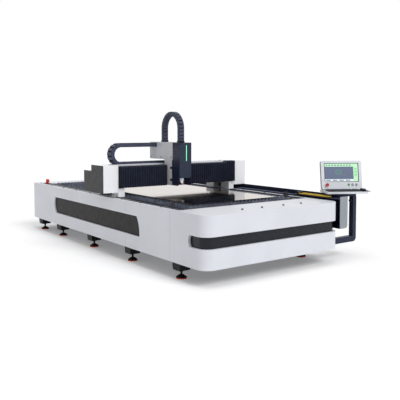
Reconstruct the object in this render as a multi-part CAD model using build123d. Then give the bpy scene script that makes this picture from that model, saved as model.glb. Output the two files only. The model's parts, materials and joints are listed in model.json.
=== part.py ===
from build123d import *
import math
import os

os.makedirs("parts", exist_ok=True)

# A gantry fibre laser cutting machine with an open bed.
# The operator's end is -Y, the operator's right hand is +X and the floor is at Z 0.
# The model is drawn about the bed's centre and moved to its plan centre when it is written.

# Bed casing
bed_length = 4610
bed_width = 2000
bed_bottom = 180
deck_top = 735
skin = 4
front_corner_radius = 130
apron_length = 615
front_deck_depth = 505
rear_deck_depth = 355

half_width = bed_width / 2
front_y = -bed_length / 2
rear_y = bed_length / 2
deck_under = deck_top - skin
pit_front = front_y + front_deck_depth
pit_rear = rear_y - rear_deck_depth
apron_rear = front_y + apron_length

# Black stripe sunk into the front apron
stripe_lift = 210
stripe_height = 125
stripe_bottom = bed_bottom + stripe_lift
stripe_top = stripe_bottom + stripe_height
stripe_recess = 35
stripe_sheet = 3
stripe_side_reach = 255
stripe_end_bulge = 24

# Dark panel sunk into the left side
ear_front_setback = 1320
ear_rear_setback = 865
ear_lift = 165
ear_height = 235
ear_front = front_y + ear_front_setback
ear_rear = rear_y - ear_rear_setback
ear_bottom = bed_bottom + ear_lift
ear_top = ear_bottom + ear_height
ear_recess = 22
ear_sheet = 3
ear_end_bulge = 26
ear_slant = 62
ear_bow = 48
ear_bow_rise = 21

# Frame, guide channels and pit
casing_gap = 45
comb_width = 40
channel_width = 120
rail_seat_drop = 35
frame_wall = 10
cross_width = 100
member_height = 100
cross_members = 4
strip_height = 20
channel_run_out = 160
frame_front_gap = 25

channel_outer = half_width - casing_gap
channel_inner = channel_outer - channel_width
pit_half_width = channel_inner - comb_width
rail_seat = deck_top - rail_seat_drop
tray_seat = bed_bottom + member_height
frame_front = front_y + front_corner_radius + frame_front_gap
frame_rear = rear_y - skin

# Slats and their combs
slat_pitch = 120
slat_thickness = 4
slat_tip_rise = 20
slat_valley_drop = 2
slat_end_drop = 7
slat_foot_drop = 67
slat_depth = 95
slat_foot = deck_top - slat_foot_drop
slat_end_top = deck_top - slat_end_drop
slat_valley = deck_top - slat_valley_drop
slat_tip = deck_top + slat_tip_rise
slat_bottom = deck_top - slat_depth
tooth_pitch = 80
slat_end_reach = 28
slat_side_gap = 5
comb_depth = 135
comb_bottom = deck_top - comb_depth
comb_slot = 6

# Slag trays under the slats
tray_wall = 3
tray_height = 60
tray_gap = 6

# Levelling feet
foot_front_setback = 536
foot_rear_setback = 208
foot_even_end = 930
even_feet = 4
foot_inset = 95
foot_x = half_width - foot_inset
first_foot = front_y + foot_front_setback
foot_pitch = (rear_y - foot_even_end - first_foot) / (even_feet - 1)
foot_places = [first_foot + i * foot_pitch for i in range(even_feet)] + [rear_y - foot_rear_setback]
bracket_top_width = 142
bracket_foot_width = 132
bracket_drop = 88
bracket_bottom = bed_bottom - bracket_drop
bracket_rim = 14
stud_radius = 12
stud_top_gap = 20
stud_reach = bed_bottom - stud_top_gap
stud_clearance = 0.4
pad_radius = 57
pad_rim = 20
pad_crown = 42
rubber_radius = 59
rubber_height = 12
nut_width = 40
nut_height = 18
nut_sides = 6

# Y guides
rail_width = 23
rail_height = 24
guide_inset = 27
guide_x = channel_inner + guide_inset
rack_width = 20
rack_height = 20
rack_gap = 19.5
rail_front_gap = 80
rail_start = pit_front + rail_front_gap
rail_end = pit_rear + channel_run_out
stop_margin = 10
stop_radius = 22
stop_length = 34
stop_lift = 4

# Workpiece
sheet_width = 1250
sheet_length = 2500
sheet_thickness = 3
sheet_side_gap = 155
sheet_left = sheet_side_gap - pit_half_width
sheet_front_gap = 180
sheet_front = pit_front + sheet_front_gap

# Rear panel and extraction
spigot_radius = 100
spigot_wall = 3
spigot_length = 110
spigot_x = -480
spigot_lift = 280
spigot_z = bed_bottom + spigot_lift
spigot_flange = 30
spigot_flange_thickness = 6

# Cable trough on the right side
trough_width = 132
trough_rise = 65
trough_height = 390
trough_top = deck_top + trough_rise
trough_bottom = trough_top - trough_height
trough_wall = 4
trough_corner = 40
trough_rear_gap = 704
shelf_drop = 42
shelf_height = trough_top - shelf_drop
shelf_length = 770
end_plate = 6
trough_length = bed_length - end_plate - trough_rear_gap
end_plate_drop = 10

# Gantry
gantry_place = 1892
gantry_front = front_y + gantry_place
foot_length = 533
foot_width = 87
foot_lift = 44
foot_height = 108
foot_bottom = rail_seat + foot_lift
foot_top = foot_bottom + foot_height
foot_bridge = 25
leg_length = 178
guide_block_length = 110
guide_block_width = 48
guide_block_lift = 6
foot_inner = guide_x - guide_block_width / 2
foot_outer = foot_inner + foot_width
block_clearance = 0.4
beam_setback = 83
beam_depth = 270
beam_height = 258
beam_overhang = 2
beam_front = gantry_front + beam_setback
beam_rear = beam_front + beam_depth
beam_top = foot_top + beam_height
beam_wall = 8
beam_end = foot_outer + beam_overhang
end_flange = 10
end_flange_depth = 393
end_flange_rear = gantry_front + end_flange_depth
end_flange_rise = 24
end_flange_top = beam_top + end_flange_rise
cover_width = 207
cover_outer = beam_end + cover_width
cover_lift = 58
cover_bottom = foot_bottom + cover_lift
cover_rise = 6
cover_top = end_flange_top + cover_rise
cover_step_drop = 77
cover_step_top = cover_top - cover_step_drop
cover_step = 215
cover_length = 548
cover_wall = 4

front_stop_setback = 217
front_stop = rail_start + front_stop_setback
gantry_front_travel = gantry_front - stop_margin - front_stop
rear_stop_setback = 60
rear_stop = rail_end - rear_stop_setback

# Y drives
gear_module = 2
gear_teeth = 17
gear_width = 16
gear_root_depth = 1.25
tooth_steps = (0, 0.3, 0.5, 0.8)
gear_shaft = 7
gear_lift = 2
shaft_entry = 20
shaft_clearance = 0.05
mesh_gap = 0.5
gearbox_lift = 13
gearbox_bottom = foot_bottom + gearbox_lift
gearbox_half_length = 42
gearbox_outer_reach = 91.5
gearbox_inner_reach = 28
encoder_radius = 27
encoder_height = 30
motor_size = 78
motor_rise = 178
motor_top = foot_top + motor_rise
drive_setback = 268
drive_y = gantry_front + drive_setback
motor_reach = 51.5

# Beam furniture
x_rail_low_lift = 48
x_rail_low = foot_top + x_rail_low_lift
x_rail_high_drop = 38
x_rail_high = beam_top - x_rail_high_drop
x_rail_depth = 20
x_rail_width = 23
x_rack_lift = 85
x_rack_bottom = x_rail_low + x_rack_lift
x_rack_height = 20
x_rail_end_gap = 10
top_cover_height = 28
top_cover_top = beam_top + top_cover_height
top_cover_sheet = 3
chain_bed_gap = 8
bellows_depth = 110
bellows_gap = 15
bellows_rear = beam_front - bellows_gap
bellows_front = bellows_rear - bellows_depth
bellows_lift = 3
bellows_bottom = foot_top + bellows_lift
bellows_rise = 17
bellows_top = beam_top + bellows_rise
bellows_fold = 20
pleat_pitch = 34
bellows_wall = 3
bellows_seat = 0.3
collar_folds = 4
collar_rise = 20

# Carriage
carriage_left = -220
carriage_width = 185
carriage_right = carriage_left + carriage_width
carriage_gap = 42
carriage_depth = 193
carriage_plate = 12
carriage_lift = 10
carriage_low = foot_top + carriage_lift
carriage_back = beam_front - carriage_gap
carriage_front = carriage_back - carriage_depth
carriage_shelf_rise = 84
carriage_shelf = beam_top + carriage_shelf_rise
carriage_shelf_thickness = 8
shelf_overhang = 54
carriage_shelf_rear = beam_rear + shelf_overhang
carriage_cover_height = 226
carriage_cover_top = carriage_shelf + carriage_cover_height
carriage_cover_sheet = 3
carriage_side = 12
x_block_width = 48
x_block_gap = 6
x_gearbox_size = 60
x_motor_gap = 8
knob_radius = 13
knob_length = 16
knob_lifts = [72, 228]
knob_heights = [carriage_low + lift for lift in knob_lifts]
knob_setback = 22
knob_y = carriage_front + knob_setback

# Z guide and drive on the carriage
guard_lift = 3
guard_bottom = carriage_low + guard_lift
guard_reach = 140
guard_lap = 8
guard_sheet = 3
guard_cut = 12
guard_cut_height = 20
z_rail_bottom = carriage_low + guard_lift
z_rail_width = 20
z_rail_depth = 15
z_rail_offset = 62
z_rail_top_gap = 4
screw_radius = 8
screw_gap = 1
screw_lift = 15
screw_bottom = carriage_low + screw_lift
belt_case_height = 22
belt_case_half = 34
belt_case_front = 26
z_motor_size = 60
z_motor_height = 106
z_motor_back = 54

# Head
head_gap = 4
head_depth = 158
head_rear = carriage_front - head_gap
head_front = head_rear - head_depth
head_side_gap = 1
head_cover_lift = 104
head_cover_height = 452
head_cover_bottom = carriage_low + head_cover_lift
head_cover_top = head_cover_bottom + head_cover_height
head_sheet = 3
z_slide_lift = 22
z_slide_height = 153
z_slide_bottom = head_cover_bottom + z_slide_lift
z_slide_top = z_slide_bottom + z_slide_height
z_slide_thickness = 15
z_block_width = 44
z_block_length = 60
z_block_depth = 10
z_block_margin = 4
z_block_gap = 4
nut_gap = 0.5
nut_block_height = 46
light_offset = 13.5
light_width = 10
light_drop = 34
light_length = 200
light_top = head_cover_top - light_drop
light_bottom = light_top - light_length
light_proud = 2
head_body_width = 74
head_body_depth = 70
head_body_lift = 34
head_body_height = 190
head_body_bottom = head_cover_bottom + head_body_lift
head_body_top = head_body_bottom + head_body_height
fibre_plug_radius = 19
fibre_plug_height = 72
fibre_plug_top = head_body_top + fibre_plug_height
barrel_radius = 27
barrel_length = 45
nozzle_top = head_body_bottom - barrel_length
nozzle_radius = 24
nozzle_neck = 13
nozzle_tip_radius = 3
sensor_length = 31
taper_length = 12
neck_length = 11
nozzle_length = 70
nozzle_tip = nozzle_top - nozzle_length

# Energy chains
chain_seat = 0.3
chain_notch = 5
chain_link_share = 0.72
x_chain_width = 120
x_chain_setback = 140
x_chain_y = beam_front + x_chain_setback
x_chain_thickness = 53
x_chain_radius = 122
x_chain_run = 540
x_chain_bend = carriage_left - x_chain_run
x_chain_fixed = 60
x_chain_pitch = 50
z_chain_width = 78
z_chain_thickness = 56
z_chain_rise = 402
z_chain_apex = head_cover_top + z_chain_rise
z_chain_rear_setback = 90
z_chain_rear = beam_front + z_chain_rear_setback
z_chain_front_setback = 107
z_chain_front = head_front + z_chain_front_setback
z_chain_pitch = 46
y_chain_width = 80
y_chain_gap = 12
y_chain_left = half_width + y_chain_gap
y_chain_thickness = 54
y_chain_radius = 142
y_chain_front_gap = 20
y_chain_fixed_place = 2705
y_chain_fixed = front_y + y_chain_fixed_place
y_chain_limit = front_y + end_plate + y_chain_front_gap + y_chain_thickness / 2 + y_chain_radius
y_chain_bend = y_chain_limit + gantry_front_travel / 2
y_chain_moving_inset = 2
y_chain_moving = beam_rear - y_chain_moving_inset
y_chain_pitch = 90
chain_arm_lift = 8
chain_arm_sheet = 16
chain_arm_depth = 40
chain_drop_width = 60
chain_drop_sheet = 10

# Console arm
post_size = 62
post_reach = 475
post_centre_x = half_width + post_reach
post_setback = 205
post_centre_y = front_y + post_setback
arm_lift = 6
arm_low = bed_bottom + arm_lift
arm_height = 72
post_rise = 17
post_top = deck_top + post_rise
elbow_radius = 50
tube_wall = 5
spindle_radius = 24
spindle_length = 120
arm_flange_size = 118
arm_flange_thickness = 10
upper_arm_gap = 0.3
upper_arm_height = 52.7
upper_arm_reach = 230
upper_arm_left = post_centre_x - upper_arm_reach
clamp_drop = 52
clamp_height = post_top - clamp_drop
clamp_radius = 20
clamp_length = 24
clamp_stem = 7
clamp_gap = 2
clamp_tip_gap = 0.3
clamp_sides = 6
arm_flange_lift = 2

# Console
console_turn = 30
console_reach = 405
console_left = post_centre_x - console_reach
console_width = 520
console_height = 360
console_depth = 95
shell_straight = 52
console_foot_half = 120
console_foot_set = 34
console_foot_gap = 4
console_tilt = 10
bezel_depth = 22
console_corner = 24
console_forward = 21
console_foot_y = post_centre_y - console_forward
tray_sheet = 26
console_lift = 10
tray_forward = 231
tray_front_y = post_centre_y - tray_forward
tray_back = 60
tray_rear_y = post_centre_y + tray_back
screen_width = 444
screen_height = 238
screen_margin = 30
screen_sink = 6
control_height = 56
stop_offset = 65
stop_button_radius = 20
stop_button_travel = 6
stop_stem_radius = 9
stop_head_length = 14
button_radius = 11
button_travel = 3
button_offsets = [345, 395]
key_offset = 445
key_radius = 10
key_rise = 3
key_thickness = 3
key_length = 22
key_bow_inset = 1
button_fit = 0.3
button_gap = 0.5
button_rise = 2
button_room = 2
collar = 4
collar_rim = 4
keyboard_width = 405
keyboard_depth = 150
keyboard_inset = 25
keyboard_left = console_left + keyboard_inset
keyboard_setback = 18
keyboard_front_y = tray_front_y + keyboard_setback
mouse_inset = 40
mouse_x = console_left + console_width - mouse_inset
mouse_setback = 90
mouse_y = tray_front_y + mouse_setback
mouse_width = 60
mouse_length = 104
mouse_height = 30
mouse_corner = 22
mouse_crown = 9
pad_thickness = 3
pad_width = 116
pad_length = 176
pad_overhang = 30
keyboard_height = 14
key_rows = 5
key_margin = 8
key_gap = 3
key_height = 7

# Fibre cable in the trough
cable_radius = 8
cable_inset = 32
cable_spread = 70
cable_left = half_width + cable_inset
cable_right = cable_left + cable_spread
cable_rear_setback = 705
cable_rear = front_y + cable_rear_setback
cable_turn_setback = 215
cable_turn = front_y + cable_turn_setback
gland_length = 24
gland_height = 32
cable_seat = 0.3


def span(x0, x1, y0, y1, z0, z1):
    """A plain block between two corners."""
    place = Pos((x0 + x1) / 2, (y0 + y1) / 2, (z0 + z1) / 2)
    return place * Box(x1 - x0, y1 - y0, z1 - z0)


def rod(x, y, z0, z1, radius):
    """An upright round bar."""
    return Pos(x, y, (z0 + z1) / 2) * Cylinder(radius, z1 - z0)


def mirrored(shape):
    """The same piece on the other side of the bed."""
    return mirror(shape, about=Plane.YZ)


def side_outline(points, x):
    """A closed straight outline in the plane across X, given as (y, z) pairs."""
    return Plane.YZ.offset(x) * make_face(Polyline(points, close=True))


def bed_plan(inset):
    """The front part of the bed's plan, with rounded front corners, shrunk by an inset."""
    radius = front_corner_radius - inset
    side = half_width - inset
    front = front_y + inset
    left = Line((-side, apron_rear), (-side, front + radius))
    left_corner = RadiusArc((-side, front + radius), (-side + radius, front), -radius)
    face = Line((-side + radius, front), (side - radius, front))
    right_corner = RadiusArc((side - radius, front), (side, front + radius), -radius)
    right = Line((side, front + radius), (side, apron_rear))
    back = Line((side, apron_rear), (-side, apron_rear))
    return make_face(left + left_corner + face + right_corner + right + back)


def bed_slice(inset, z0, z1):
    """A thick slice of the front part of the bed."""
    return Pos(0, 0, z0) * extrude(bed_plan(inset), z1 - z0)


def stripe_band(grow):
    """The side view of the stripe, with its rounded end, pushed through the whole width."""
    low = stripe_bottom - grow
    high = stripe_top + grow
    end = front_y + stripe_side_reach + grow
    tip = (end + stripe_end_bulge, (low + high) / 2)
    bottom = Line((front_y - skin, low), (end, low))
    curve = ThreePointArc((end, low), tip, (end, high))
    top = Line((end, high), (front_y - skin, high))
    front = Line((front_y - skin, high), (front_y - skin, low))
    outline = Plane.YZ * make_face(bottom + curve + top + front)
    return extrude(outline, half_width + skin, both=True)


def front_apron():
    """The folded white front with the channel that the stripe sits in."""
    shell = bed_slice(0, bed_bottom, deck_under) - bed_slice(skin, bed_bottom, deck_under)
    floor_inset = stripe_recess
    groove = stripe_band(0) - bed_slice(floor_inset, bed_bottom, deck_under)
    lined = stripe_band(skin) - bed_slice(floor_inset + skin, bed_bottom, deck_under)
    lined = lined & bed_slice(0, bed_bottom, deck_under)
    return shell + lined - groove


def front_stripe():
    """The black sheet on the floor of the channel."""
    outer = bed_slice(stripe_recess - stripe_sheet, bed_bottom, deck_under)
    ring = outer - bed_slice(stripe_recess, bed_bottom, deck_under)
    return ring & stripe_band(0)


def ear_outline(grow):
    """The side view of the dark panel, with a bulging end at each side."""
    low = ear_bottom - grow
    high = ear_top + grow
    front = ear_front - grow
    rear = ear_rear + grow
    middle = (low + high) / 2
    top = Line((rear, high), (front, high))
    bow = (front - ear_bow, middle + ear_bow_rise)
    front_end = ThreePointArc((front, high), bow, (front - ear_slant, low))
    bottom = Line((front - ear_slant, low), (rear - ear_end_bulge, low))
    rear_end = ThreePointArc((rear - ear_end_bulge, low), (rear + ear_end_bulge, middle), (rear, high))
    return make_face(top + front_end + bottom + rear_end)


def ear_block(grow, x0, x1):
    """The dark panel's outline as a block between two X places."""
    return extrude(Plane.YZ.offset(x0) * ear_outline(grow), x1 - x0)


def left_side_panel():
    """The long left sheet with a folded rim round the sunk panel."""
    outer = -half_width
    back = outer + ear_recess
    panel = span(outer, outer + skin, apron_rear, rear_y - skin, bed_bottom, deck_under)
    panel += ear_block(skin, outer, back)
    return panel - ear_block(0, outer - skin, back + skin)


def left_ear_panel():
    """The dark sheet at the back of the rim."""
    back = -half_width + ear_recess
    return ear_block(0, back - ear_sheet, back)


def right_side_panel():
    """The plain right sheet behind the trough."""
    return span(half_width - skin, half_width, apron_rear, rear_y - skin, bed_bottom, deck_under)


def rear_panel():
    """The rear sheet with the extraction hole."""
    panel = span(-half_width, half_width, rear_y - skin, rear_y, bed_bottom, deck_under)
    hole = Pos(spigot_x, rear_y, spigot_z) * Rot(90, 0, 0) * Cylinder(spigot_radius - spigot_wall, 3 * skin)
    return panel - hole


def extraction_spigot():
    """A flanged sheet-metal pipe for the extraction hose."""
    inner = spigot_radius - spigot_wall
    flange_end = spigot_flange_thickness
    profile = Polyline(
        (inner, 0),
        (spigot_radius + spigot_flange, 0),
        (spigot_radius + spigot_flange, flange_end),
        (spigot_radius, flange_end),
        (spigot_radius, spigot_length),
        (inner, spigot_length),
        close=True,
    )
    pipe = revolve(Plane.XZ * make_face(profile), Axis.Z)
    return Pos(spigot_x, rear_y, spigot_z) * Rot(-90, 0, 0) * pipe


def cross_member_places():
    """The front edge of each member across the pit."""
    run = pit_rear - pit_front - cross_width
    return [pit_front + run * i / (cross_members - 1) for i in range(cross_members)]


def bed_frame():
    """The welded frame: side tubes, strips for the panels, members across and two bulkheads."""
    casing_inner = half_width - skin
    tube = span(channel_inner, channel_outer, frame_front, frame_rear, bed_bottom, rail_seat)
    tube -= span(
        channel_inner + frame_wall,
        channel_outer - frame_wall,
        frame_front,
        frame_rear,
        bed_bottom + frame_wall,
        rail_seat - frame_wall,
    )
    strip_foot = rail_seat - strip_height
    high = span(channel_outer, casing_inner, frame_front, frame_rear, strip_foot, deck_under)
    strip_top = bed_bottom + strip_height
    low = span(channel_outer, casing_inner, frame_front, frame_rear, bed_bottom, strip_top)
    pieces = [tube, high, low]
    pieces += [mirrored(piece) for piece in pieces]
    for y in cross_member_places():
        pieces.append(span(-channel_inner, channel_inner, y, y + cross_width, bed_bottom, tray_seat))
    front = pit_front - frame_wall
    pieces.append(span(-channel_inner, channel_inner, front, pit_front, bed_bottom, deck_under))
    rear = span(-channel_inner, channel_inner, pit_rear, pit_rear + frame_wall, bed_bottom, deck_under)
    duct = Pos(spigot_x, pit_rear, spigot_z) * Rot(90, 0, 0) * Cylinder(spigot_radius, 4 * frame_wall)
    pieces.append(rear - duct)
    return pieces


def deck_covers():
    """The front deck with rounded corners, two side strips and the rear deck with guide slots."""
    front = bed_slice(0, deck_under, deck_top)
    front &= span(-half_width, half_width, front_y, pit_front, deck_under, deck_top)
    strip = span(channel_outer, half_width, pit_front, pit_rear, deck_under, deck_top)
    rear = span(-half_width, half_width, pit_rear, rear_y, deck_under, deck_top)
    slot_end = pit_rear + channel_run_out
    slot = span(channel_inner, channel_outer, pit_rear, slot_end, deck_under - 1, deck_top + 1)
    return [front, strip, mirrored(strip), rear - slot - mirrored(slot)]


def slat_places():
    """The middle of each slat along the bed."""
    room = pit_rear - pit_front
    count = int(room // slat_pitch)
    first = pit_front + (room - (count - 1) * slat_pitch) / 2
    return [first + i * slat_pitch for i in range(count)]


def slats():
    """Toothed slats standing in the combs."""
    reach = pit_half_width + slat_end_reach
    count = int(2 * pit_half_width // tooth_pitch)
    start = -count * tooth_pitch / 2
    points = [(-reach, slat_foot), (-reach, slat_end_top), (start, slat_end_top), (start, slat_valley)]
    for i in range(count):
        valley = start + i * tooth_pitch
        points.append((valley + tooth_pitch / 2, slat_tip))
        points.append((valley + tooth_pitch, slat_valley))
    inner = pit_half_width - slat_side_gap
    points += [(-start, slat_end_top), (reach, slat_end_top), (reach, slat_foot)]
    points += [(inner, slat_foot), (inner, slat_bottom), (-inner, slat_bottom), (-inner, slat_foot)]
    blade = Plane.XZ * make_face(Polyline(points, close=True))
    blade = Pos(0, slat_thickness / 2, 0) * extrude(blade, slat_thickness)
    return [Pos(0, y, 0) * blade for y in slat_places()]


def slat_combs():
    """Two slotted bars that the slats stand in."""
    comb = span(pit_half_width, channel_inner, pit_front, pit_rear, comb_bottom, slat_end_top)
    for y in slat_places():
        comb -= span(
            pit_half_width - 1,
            pit_half_width + slat_end_reach + 1,
            y - comb_slot / 2,
            y + comb_slot / 2,
            slat_foot,
            slat_end_top + 1,
        )
    return [comb, mirrored(comb)]


def slag_trays():
    """Open trays that rest on the members across the pit."""
    places = cross_member_places()
    trays = []
    for front, rear in zip(places, places[1:]):
        y0 = front + cross_width / 2 + tray_gap
        y1 = rear + cross_width / 2 - tray_gap
        side = channel_inner - tray_gap
        tray = span(-side, side, y0, y1, tray_seat, tray_seat + tray_height)
        tray -= span(
            tray_wall - side,
            side - tray_wall,
            y0 + tray_wall,
            y1 - tray_wall,
            tray_seat + tray_wall,
            tray_seat + tray_height + 1,
        )
        trays.append(tray)
    return trays


def steel_sheet():
    """The polished sheet that lies on the slat tips."""
    return span(
        sheet_left,
        sheet_left + sheet_width,
        sheet_front,
        sheet_front + sheet_length,
        slat_tip,
        slat_tip + sheet_thickness,
    )


def at_feet(shape):
    """A copy of a piece at each of the feet, both sides."""
    return [Pos(side * foot_x, y, 0) * shape for side in (-1, 1) for y in foot_places]


def foot_brackets():
    """Tapered brackets welded under the frame, bored for the studs."""
    middle = Pos(0, 0, bed_bottom - bracket_rim) * Rectangle(bracket_top_width, bracket_top_width)
    low = Pos(0, 0, bracket_bottom) * Rectangle(bracket_foot_width, bracket_foot_width)
    bracket = extrude(middle, bracket_rim) + loft([low, middle])
    bore = rod(0, 0, bracket_bottom - 1, stud_reach + 2, stud_radius + stud_clearance)
    return at_feet(bracket - bore)


def levelling_feet():
    """Dished pad, stud and lock nut of each foot."""
    outline = Polyline(
        (0, rubber_height),
        (pad_radius, rubber_height),
        (pad_radius, pad_rim),
        (stud_radius * 2, pad_crown),
        (stud_radius, pad_crown),
        (stud_radius, stud_reach),
        (0, stud_reach),
        close=True,
    )
    turned = revolve(Plane.XZ * make_face(outline), Axis.Z)
    nut_face = RegularPolygon(nut_width / 2, nut_sides)
    nut = Pos(0, 0, bracket_bottom - nut_height) * extrude(nut_face, nut_height)
    return at_feet(turned + nut)


def foot_rubbers():
    """The orange-red rubber disc under each pad."""
    return at_feet(rod(0, 0, 0, rubber_height, rubber_radius))


def y_guide_rails():
    """Two rails and two racks on the frame's side tubes."""
    rail = span(
        guide_x - rail_width / 2,
        guide_x + rail_width / 2,
        rail_start,
        rail_end,
        rail_seat,
        rail_seat + rail_height,
    )
    rack_inner = guide_x + rail_width / 2 + rack_gap
    rack = span(
        rack_inner, rack_inner + rack_width, rail_start, rail_end, rail_seat, rail_seat + rack_height
    )
    return [rail, mirrored(rail), rack, mirrored(rack)]


def end_stops():
    """Rubber bumpers on brackets at both ends of each guide."""
    stops = []
    for face, away in ((rear_stop, 1), (front_stop, -1)):
        low = min(face, face + away * stop_length)
        rubber = Pos(guide_x, low + stop_length / 2, foot_bottom + stop_radius + stop_lift)
        rubber = rubber * Rot(90, 0, 0) * Cylinder(stop_radius, stop_length)
        plate_y = face + away * (stop_length + frame_wall / 2)
        plate = span(
            guide_x - stop_radius,
            guide_x + stop_radius,
            plate_y - frame_wall / 2,
            plate_y + frame_wall / 2,
            rail_seat + rail_height,
            foot_bottom + 2 * (stop_radius + stop_lift),
        )
        stops.append(rubber + plate)
    return stops + [mirrored(stop) for stop in stops]


def trough_section(x_inner, x_outer, low, high, corner):
    """The trough's cross section against the casing, rounded at its lower outer corner."""
    base = Line((x_inner, low), (x_outer - corner, low))
    bend = RadiusArc((x_outer - corner, low), (x_outer, low + corner), -corner)
    side = Line((x_outer, low + corner), (x_outer, high))
    top = Line((x_outer, high), (x_inner, high))
    back = Line((x_inner, high), (x_inner, low))
    return Plane.XZ * make_face(base + bend + side + top + back)


def chain_trough():
    """Open trough for the long energy chain, with a shelf and a gland block for the cable."""
    inner = half_width
    outer = half_width + trough_width
    start = front_y + end_plate
    whole = trough_section(inner, outer, trough_bottom, trough_top, trough_corner)
    hollow = trough_section(
        inner - skin,
        outer - trough_wall,
        trough_bottom + trough_wall,
        trough_top + skin,
        trough_corner - trough_wall,
    )
    trough = extrude(whole, trough_length) - extrude(hollow, trough_length)
    trough = Pos(0, start + trough_length, 0) * trough
    shelf = span(
        inner, outer - trough_wall, start, start + shelf_length, shelf_height, shelf_height + trough_wall
    )
    shelf_top = shelf_height + trough_wall
    gland_block = span(
        cable_left - 2 * cable_radius,
        cable_right + 2 * cable_radius,
        cable_rear,
        cable_rear + gland_length,
        shelf_top,
        shelf_top + gland_height,
    )
    return trough + shelf + gland_block


def trough_end_plate():
    """The light plate that closes the front of the trough."""
    top = trough_top - end_plate_drop
    face = trough_section(half_width, half_width + trough_width, trough_bottom, top, trough_corner)
    return Pos(0, front_y + end_plate, 0) * extrude(face, end_plate)


def hairpin(leg_in, radius, leg_out, thickness, pitch):
    """The side view of an energy chain: a leg in, a half turn and a leg out, with notched links.

    The turn is about the origin and both legs run to +X, the first one below."""
    length = leg_in + math.pi * radius + leg_out
    links = round(length / pitch)
    step = length / links
    gap = step * (1 - chain_link_share) / 2
    half = thickness / 2

    def point(s, offset):
        if s < leg_in:
            return (leg_in - s, -radius - offset)
        turn = min((s - leg_in) / radius, math.pi)
        if turn < math.pi:
            return (-(radius + offset) * math.sin(turn), -(radius + offset) * math.cos(turn))
        return (s - leg_in - math.pi * radius, radius + offset)

    outer = []
    inner = []
    for link in range(links):
        start = link * step
        for side, line in ((1, outer), (-1, inner)):
            line.append(point(start, side * (half - chain_notch)))
            line.append(point(start + gap, side * half))
            line.append(point(start + step - gap, side * half))
    outer.append(point(length, half - chain_notch))
    inner.append(point(length, chain_notch - half))
    return make_face(Polyline(outer + inner[::-1], close=True))


def y_chain():
    """The long chain in the trough, from the bed to the gantry's arm."""
    face = hairpin(
        y_chain_fixed - y_chain_bend,
        y_chain_radius,
        y_chain_moving - y_chain_bend,
        y_chain_thickness,
        y_chain_pitch,
    )
    low = trough_bottom + trough_wall + chain_seat
    centre = low + y_chain_thickness / 2 + y_chain_radius
    plane = Plane(origin=(y_chain_left, y_chain_bend, centre), x_dir=(0, 1, 0), z_dir=(1, 0, 0))
    return extrude(plane * face, y_chain_width)


def fibre_cable():
    """A yellow cable loop lying on the trough's shelf between two glands."""
    z = shelf_height + trough_wall + cable_radius + cable_seat
    radius = (cable_right - cable_left) / 2
    path = Line((cable_left, cable_rear, z), (cable_left, cable_turn + radius, z))
    path += ThreePointArc(
        (cable_left, cable_turn + radius, z),
        (cable_left + radius, cable_turn, z),
        (cable_right, cable_turn + radius, z),
    )
    path += Line((cable_right, cable_turn + radius, z), (cable_right, cable_rear, z))
    section = Plane(origin=(cable_left, cable_rear, z), z_dir=(0, -1, 0)) * Circle(cable_radius)
    cable = sweep(section, path=path)
    return cable


def gantry_feet():
    """White castings that bridge the two guide blocks on each side."""
    rear = gantry_front + foot_length
    foot = span(foot_inner, foot_outer, gantry_front, rear, foot_bottom, foot_top)
    foot -= span(
        foot_inner - 1,
        foot_outer + 1,
        gantry_front + leg_length,
        rear - leg_length,
        foot_bottom - 1,
        foot_top - foot_bridge,
    )
    return [foot, mirrored(foot)]


def y_guide_blocks():
    """Four carriages that straddle the rails under the gantry's feet."""
    block_half = guide_block_width / 2
    rear = gantry_front + foot_length
    blocks = []
    for centre in (gantry_front + leg_length / 2, rear - leg_length / 2):
        block = span(
            guide_x - block_half,
            guide_x + block_half,
            centre - guide_block_length / 2,
            centre + guide_block_length / 2,
            rail_seat + guide_block_lift,
            foot_bottom,
        )
        block -= span(
            guide_x - rail_width / 2 - block_clearance,
            guide_x + rail_width / 2 + block_clearance,
            centre - guide_block_length,
            centre + guide_block_length,
            rail_seat,
            rail_seat + rail_height + block_clearance,
        )
        blocks.append(block)
    return blocks + [mirrored(block) for block in blocks]


def y_chain_arm():
    """The arm that carries the moving end of the long chain."""
    y = y_chain_moving
    arm_low = foot_top + chain_arm_lift
    arm_top = arm_low + chain_arm_sheet
    drop_low = trough_bottom + trough_wall + chain_seat + 2 * y_chain_radius
    reach = y_chain_left + y_chain_width
    arm = span(beam_end, reach, y, y + chain_arm_depth, arm_low, arm_top)
    return arm + span(reach - chain_drop_width, reach, y, y + chain_drop_sheet, drop_low, arm_low)


def gantry_beam():
    """The beam tube with an end flange at each end and the arm for the long chain."""
    tube = span(-beam_end, beam_end, beam_front, beam_rear, foot_top, beam_top)
    tube -= span(
        -beam_end,
        beam_end,
        beam_front + beam_wall,
        beam_rear - beam_wall,
        foot_top + beam_wall,
        beam_top - beam_wall,
    )
    flange = span(
        beam_end - end_flange, beam_end, gantry_front, end_flange_rear, foot_top, end_flange_top
    )
    return tube + flange + mirrored(flange) + y_chain_arm()


def end_cover():
    """A stepped sheet cover, open below and towards the beam."""

    def block(inset, top_inset, inner, low):
        front = gantry_front + inset
        rear = gantry_front + cover_length - inset
        step_y = gantry_front + cover_length - cover_step
        points = [
            (front, low),
            (front, cover_top - top_inset),
            (step_y - inset, cover_top - top_inset),
            (step_y - inset, cover_step_top - top_inset),
            (rear, cover_step_top - top_inset),
            (rear, low),
        ]
        return extrude(side_outline(points, inner), cover_outer - inset - inner)

    shell = block(0, 0, beam_end, cover_bottom)
    return shell - block(cover_wall, cover_wall, beam_end - 1, cover_bottom - 1)


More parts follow.
